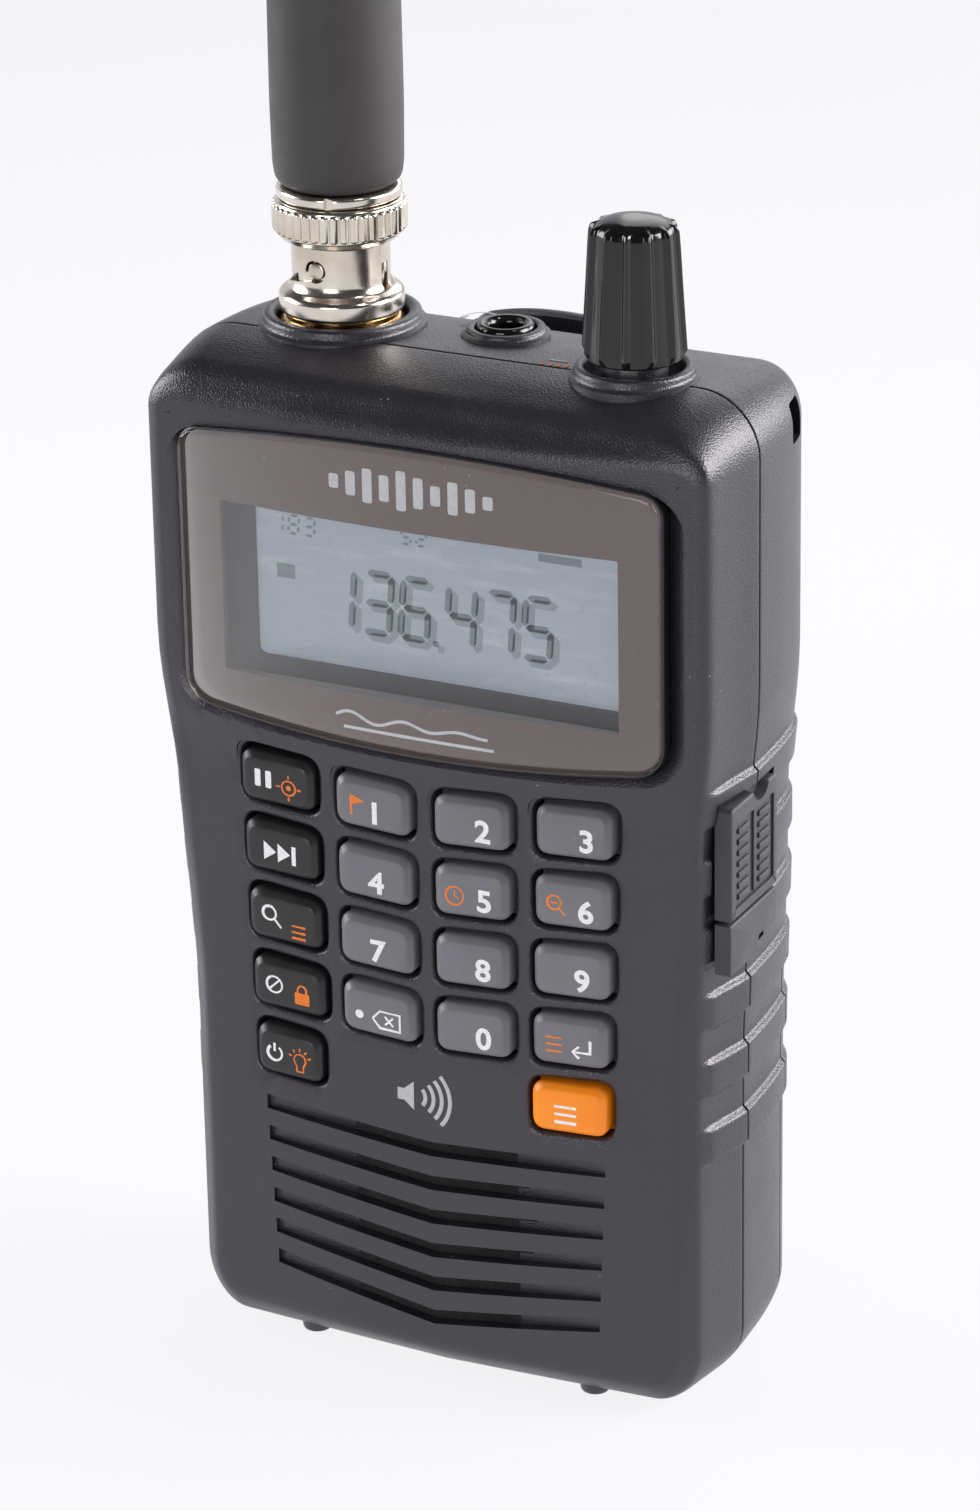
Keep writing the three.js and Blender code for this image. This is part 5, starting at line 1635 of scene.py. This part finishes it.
def clip_blade():
    half = [(5.5, 56.5), (9, 58), (11, 61.5), (12, 96), (12, 109), (10, 112.2), (5, 113.4)]
    outline = rounded(half + [(0, 113.7)] + [(-x, z) for x, z in reversed(half)], 3.0, 6, True)
    rings = blade_face(BLADE_INNER, outline)
    for t, inset in ((0.0, 0.5), (0.15, 0.12), (0.4, 0.0), (0.6, 0.0), (0.85, 0.12), (1.0, 0.5)):
        ring = []
        for x, z in offset_outline(outline, inset):
            ring.append((x, blade_depth(BLADE_INNER, z) * (1 - t) + blade_depth(BLADE_OUTER, z) * t, z))
        rings.append(ring)
    return loft("clip_blade", rings + blade_face(BLADE_OUTER, outline)[::-1])


def pin_eye():
    """A cutter for the hole of the clip's pin."""
    profile = [(0, -20), (CLIP_EYE_RADIUS, -20), (CLIP_EYE_RADIUS, 20), (0, 20)]
    return lathe("eye", profile, 0, PIN_Y, 24, "X", PIN_Z)


def clip_arm():
    blade = clip_blade()
    barrel = rounded([(0, -8), (1.8, -8), (1.8, 8), (0, 8)], 0.3, 3)
    knuckle = lathe("knuckle", barrel, 0, PIN_Y, 40, "X", PIN_Z)
    web = block("web", -8, 8, PIN_Y, 22, 99.6, 102.4)
    hook = block("hook", -6, 6, BACK_Y + GAP, 21.5, 56.6, 58.6, 0.4)
    boolean(blade, [knuckle, web, hook], "UNION")
    grooves = []
    for z in (60.5, 62.5, 64.5):
        grooves.append(plate("groove", rectangle(-7, 7, z, z + 0.8, 0.39, 4), 22.35, 26, 0.0))
    boolean(blade, [pin_eye(), *grooves])
    piece(blade, "case", "clip", "case_plastic", "clip_arm")


def clip_base():
    outline = [(x, z + CLIP_MIDDLE_Z) for x, z in rectangle(-12.5, 12.5, -17, 17, 4, 6)]
    base = plate("clip_plate", outline, BACK_Y + GAP, BACK_Y + 2.2, 0.4)
    lugs = []
    for x in (-9.6, 9.6):
        x0, x1 = x - 1.3, x + 1.3
        lugs.append(block("lug", x0, x1, BACK_Y + 1, PIN_Y, 99.4, 102.6))
        rim = rounded([(0, x0), (1.6, x0), (1.6, x1), (0, x1)], 0.2, 3)
        lugs.append(lathe("eye_rim", rim, 0, PIN_Y, 32, "X", PIN_Z))
    boolean(base, lugs, "UNION")
    seat = [(0, 14), (1.7, 14), (1.7, 16.7), (3.1, 16.7), (3.1, 20), (0, 20)]
    boolean(base, [pin_eye(), lathe("seat", seat, 0, 0, 32, "Y", CLIP_SCREW_Z)])
    piece(base, "case", "radio", "case_plastic", "clip_base")


def screw(name, x, z, head, head_y, tip_y, node):
    """A cross-recessed screw whose head faces the rear."""
    profile = rounded([(0, tip_y), (1.2, tip_y + 0.6), (1.2, head_y), (head, head_y),
                       (head, head_y + 0.6, 0.3), (0, head_y + 1.1, 0)], 0.12, 3)
    body = lathe(name, profile, x, 0, 40, "Y", z)
    arms = []
    for w, h in ((1.3, 0.25), (0.25, 1.3)):
        arms.append(block("arm", x - w, x + w, head_y + 0.35, head_y + 3, z - h, z + h))
    boolean(body, [boolean(arms[0], [arms[1]], "UNION")])
    piece(body, "steel", "radio", "tinned_steel", node)


def screws():
    screw("clip_screw_head", 0, CLIP_SCREW_Z, 2.7, 17.0, 8, "clip_screw")
    for i, x in enumerate((-SCREW_X, SCREW_X), 1):
        screw(f"top_screw_{i}", x, TOP_SCREW_Z, 2.1, 9.3, 4.3, f"case_screw_top_{i}")
        screw(f"low_screw_{i}", x, LOW_SCREW_Z, 2.1, 5.3, 0.3, f"case_screw_low_{i}")


# ---------------------------------------------------------------- CAD nodes that keep their shape

KEPT_NODES = {
    "lcd_holder": "black", "keypad_mat": "silicone", "main_board": "board", "rf_board": "board",
    "shield_can": "steel", "speaker_frame": "steel", "speaker_cone": "cloth", "speaker_magnet": "steel",
    "speaker_cloth": "cloth", "usb_jack": "steel", "encoder_body": "steel", "encoder_shaft": "steel",
    "clip_pin": "steel", "battery_1": "cell", "battery_2": "cell", "battery_spring_1": "steel",
    "battery_spring_2": "steel", "contact_left": "steel", "contact_right": "steel",
}


def paint_kept_nodes():
    for name, finish in KEPT_NODES.items():
        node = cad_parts[name]
        for slot in node.material_slots:
            slot.material = MATERIALS[finish]
        if not node.material_slots:
            node.data.materials.append(MATERIALS[finish])


# ---------------------------------------------------------------- camera, floor and light

CAMERA_TARGET = Vector((0.00055, -MIDDLE_Y * MM, 0.0691))
CAMERA_YAW = math.radians(26.76)
CAMERA_PITCH = math.radians(22.38)
CAMERA_ROLL = math.radians(-1.01)
CAMERA_DISTANCE = 0.5963
CAMERA_LENS = 130.7
FLOOR_HALF = 3.0
FLOOR_GLOW = 0.9
FAR_GLOW = 0.76
HORIZON_LIGHT = 0.75
CEILING_LIGHT = 0.07

# Name, position, aim, size in metres, watts and colour of each area light.
LIGHTS = [
    ("key_light", (1.7, 0.75, 0.9), (0, 0, 0.06), 1.1, 60.0, (1, 0.99, 0.99)),
    ("back_light", (-0.3, 1.9, 1.2), (0, 0, 0.08), 1.4, 8.0, (1, 1, 1)),
    ("left_light", (-1.7, -0.3, 0.6), (0, 0, 0.06), 1.0, 27.0, (0.96, 0.97, 1)),
    ("front_light", (0.1, -2.0, 0.55), (0, 0, 0.07), 1.0, 14.0, (1, 1, 1)),
    ("rim_light", (1.1, 1.7, 0.3), (0, 0, 0.07), 0.9, 18.0, (1, 1, 1)),
    ("corner_light", (0.8, -0.1, 1.5), (0.02, 0, 0.12), 0.2, 2.0, (1, 1, 1)),
]


def camera():
    yaw_cos, yaw_sin = math.cos(CAMERA_YAW), math.sin(CAMERA_YAW)
    pitch_cos, pitch_sin = math.cos(CAMERA_PITCH), math.sin(CAMERA_PITCH)
    back = Vector((yaw_sin * pitch_cos, -yaw_cos * pitch_cos, pitch_sin))
    right = Vector((yaw_cos, yaw_sin, 0))
    up = back.cross(right)
    turned_right = right * math.cos(CAMERA_ROLL) + up * math.sin(CAMERA_ROLL)
    turned_up = up * math.cos(CAMERA_ROLL) - right * math.sin(CAMERA_ROLL)
    data = bpy.data.cameras.new("camera")
    data.lens = CAMERA_LENS
    data.sensor_width = 36
    data.clip_start = 0.01
    data.clip_end = 50
    obj = in_scene("camera", data)
    turn = Matrix((turned_right, turned_up, back)).transposed().to_4x4()
    obj.matrix_world = Matrix.Translation(CAMERA_TARGET + back * CAMERA_DISTANCE) @ turn
    bpy.context.scene.camera = obj


def area_light(name, position, target, size, power, colour):
    data = bpy.data.lights.new(name, "AREA")
    data.energy = power
    data.color = colour
    data.size = size
    obj = in_scene(name, data)
    obj.location = position
    obj.rotation_mode = "QUATERNION"
    obj.rotation_quaternion = (Vector(target) - Vector(position)).to_track_quat("-Z", "Y")


def pale_floor():
    """White table top that glows a little, less so far from the object."""
    f = Finish("pale_floor")
    f.shader.inputs["Emission Color"].default_value = rgb(250, 250, 252)
    f.colour(f.patches(3, 2, rgb(66, 66, 68), rgb(70, 70, 72)))
    away = f.node("ShaderNodeVectorMath", operation="LENGTH")
    f.link(f.where, away.inputs[0])
    glow = f.spread(away.outputs["Value"], 0.25, 0.9, FLOOR_GLOW, FAR_GLOW)
    f.link(glow, f.shader.inputs["Emission Strength"])
    f.roughness(8, 2, 0.8, 0.9)
    return f.material


def stage():
    h = FLOOR_HALF
    mesh = bpy.data.meshes.new("floor")
    mesh.from_pydata([(-h, -h, 0), (h, -h, 0), (h, h, 0), (-h, h, 0)], [], [(0, 1, 2, 3)])
    floor = in_scene("floor", mesh)
    floor.data.materials.append(pale_floor())
    studio()
    bpy.context.scene.view_settings.view_transform = "Standard"
    for light in LIGHTS:
        area_light(*light)


def studio():
    """Bright surroundings at the sides and the back, dark above and behind the camera."""
    world = bpy.data.worlds.new("studio")
    world = bpy.data.worlds.new("studio")
    world.use_nodes = True
    tree = world.node_tree
    background = tree.nodes["Background"]
    where = tree.nodes.new("ShaderNodeTexCoord")
    split = tree.nodes.new("ShaderNodeSeparateXYZ")
    forward = tree.nodes.new("ShaderNodeMath")
    forward.operation = "MULTIPLY_ADD"
    forward.inputs[1].default_value = -0.5
    fade = tree.nodes.new("ShaderNodeMapRange")
    limits = {"From Min": 0.05, "From Max": 0.28, "To Min": HORIZON_LIGHT, "To Max": CEILING_LIGHT}
    for name, value in limits.items():
        fade.inputs[name].default_value = value
    background.inputs["Color"].default_value = (0.95, 0.96, 1.0, 1)
    for source, target in (
        (where.outputs["Generated"], split.inputs[0]),
        (split.outputs["Y"], forward.inputs[0]),
        (split.outputs["Z"], forward.inputs[2]),
        (forward.outputs[0], fade.inputs["Value"]),
        (fade.outputs["Result"], background.inputs["Strength"]),
    ):
        tree.links.new(source, target)
    bpy.context.scene.world = world


# ---------------------------------------------------------------- everything in order

camera()
stage()
front_case()
rear_case()
battery_door()
lens()
display()
display_marks()
for key_name, key_finish in KEYS.items():
    key_body(key_name, key_finish)
key_marks()
case_prints()
top_prints()
aerial()
coupling()
socket()
knob()
phone_socket()
port_cover()
clip_arm()
clip_base()
screws()
paint_kept_nodes()
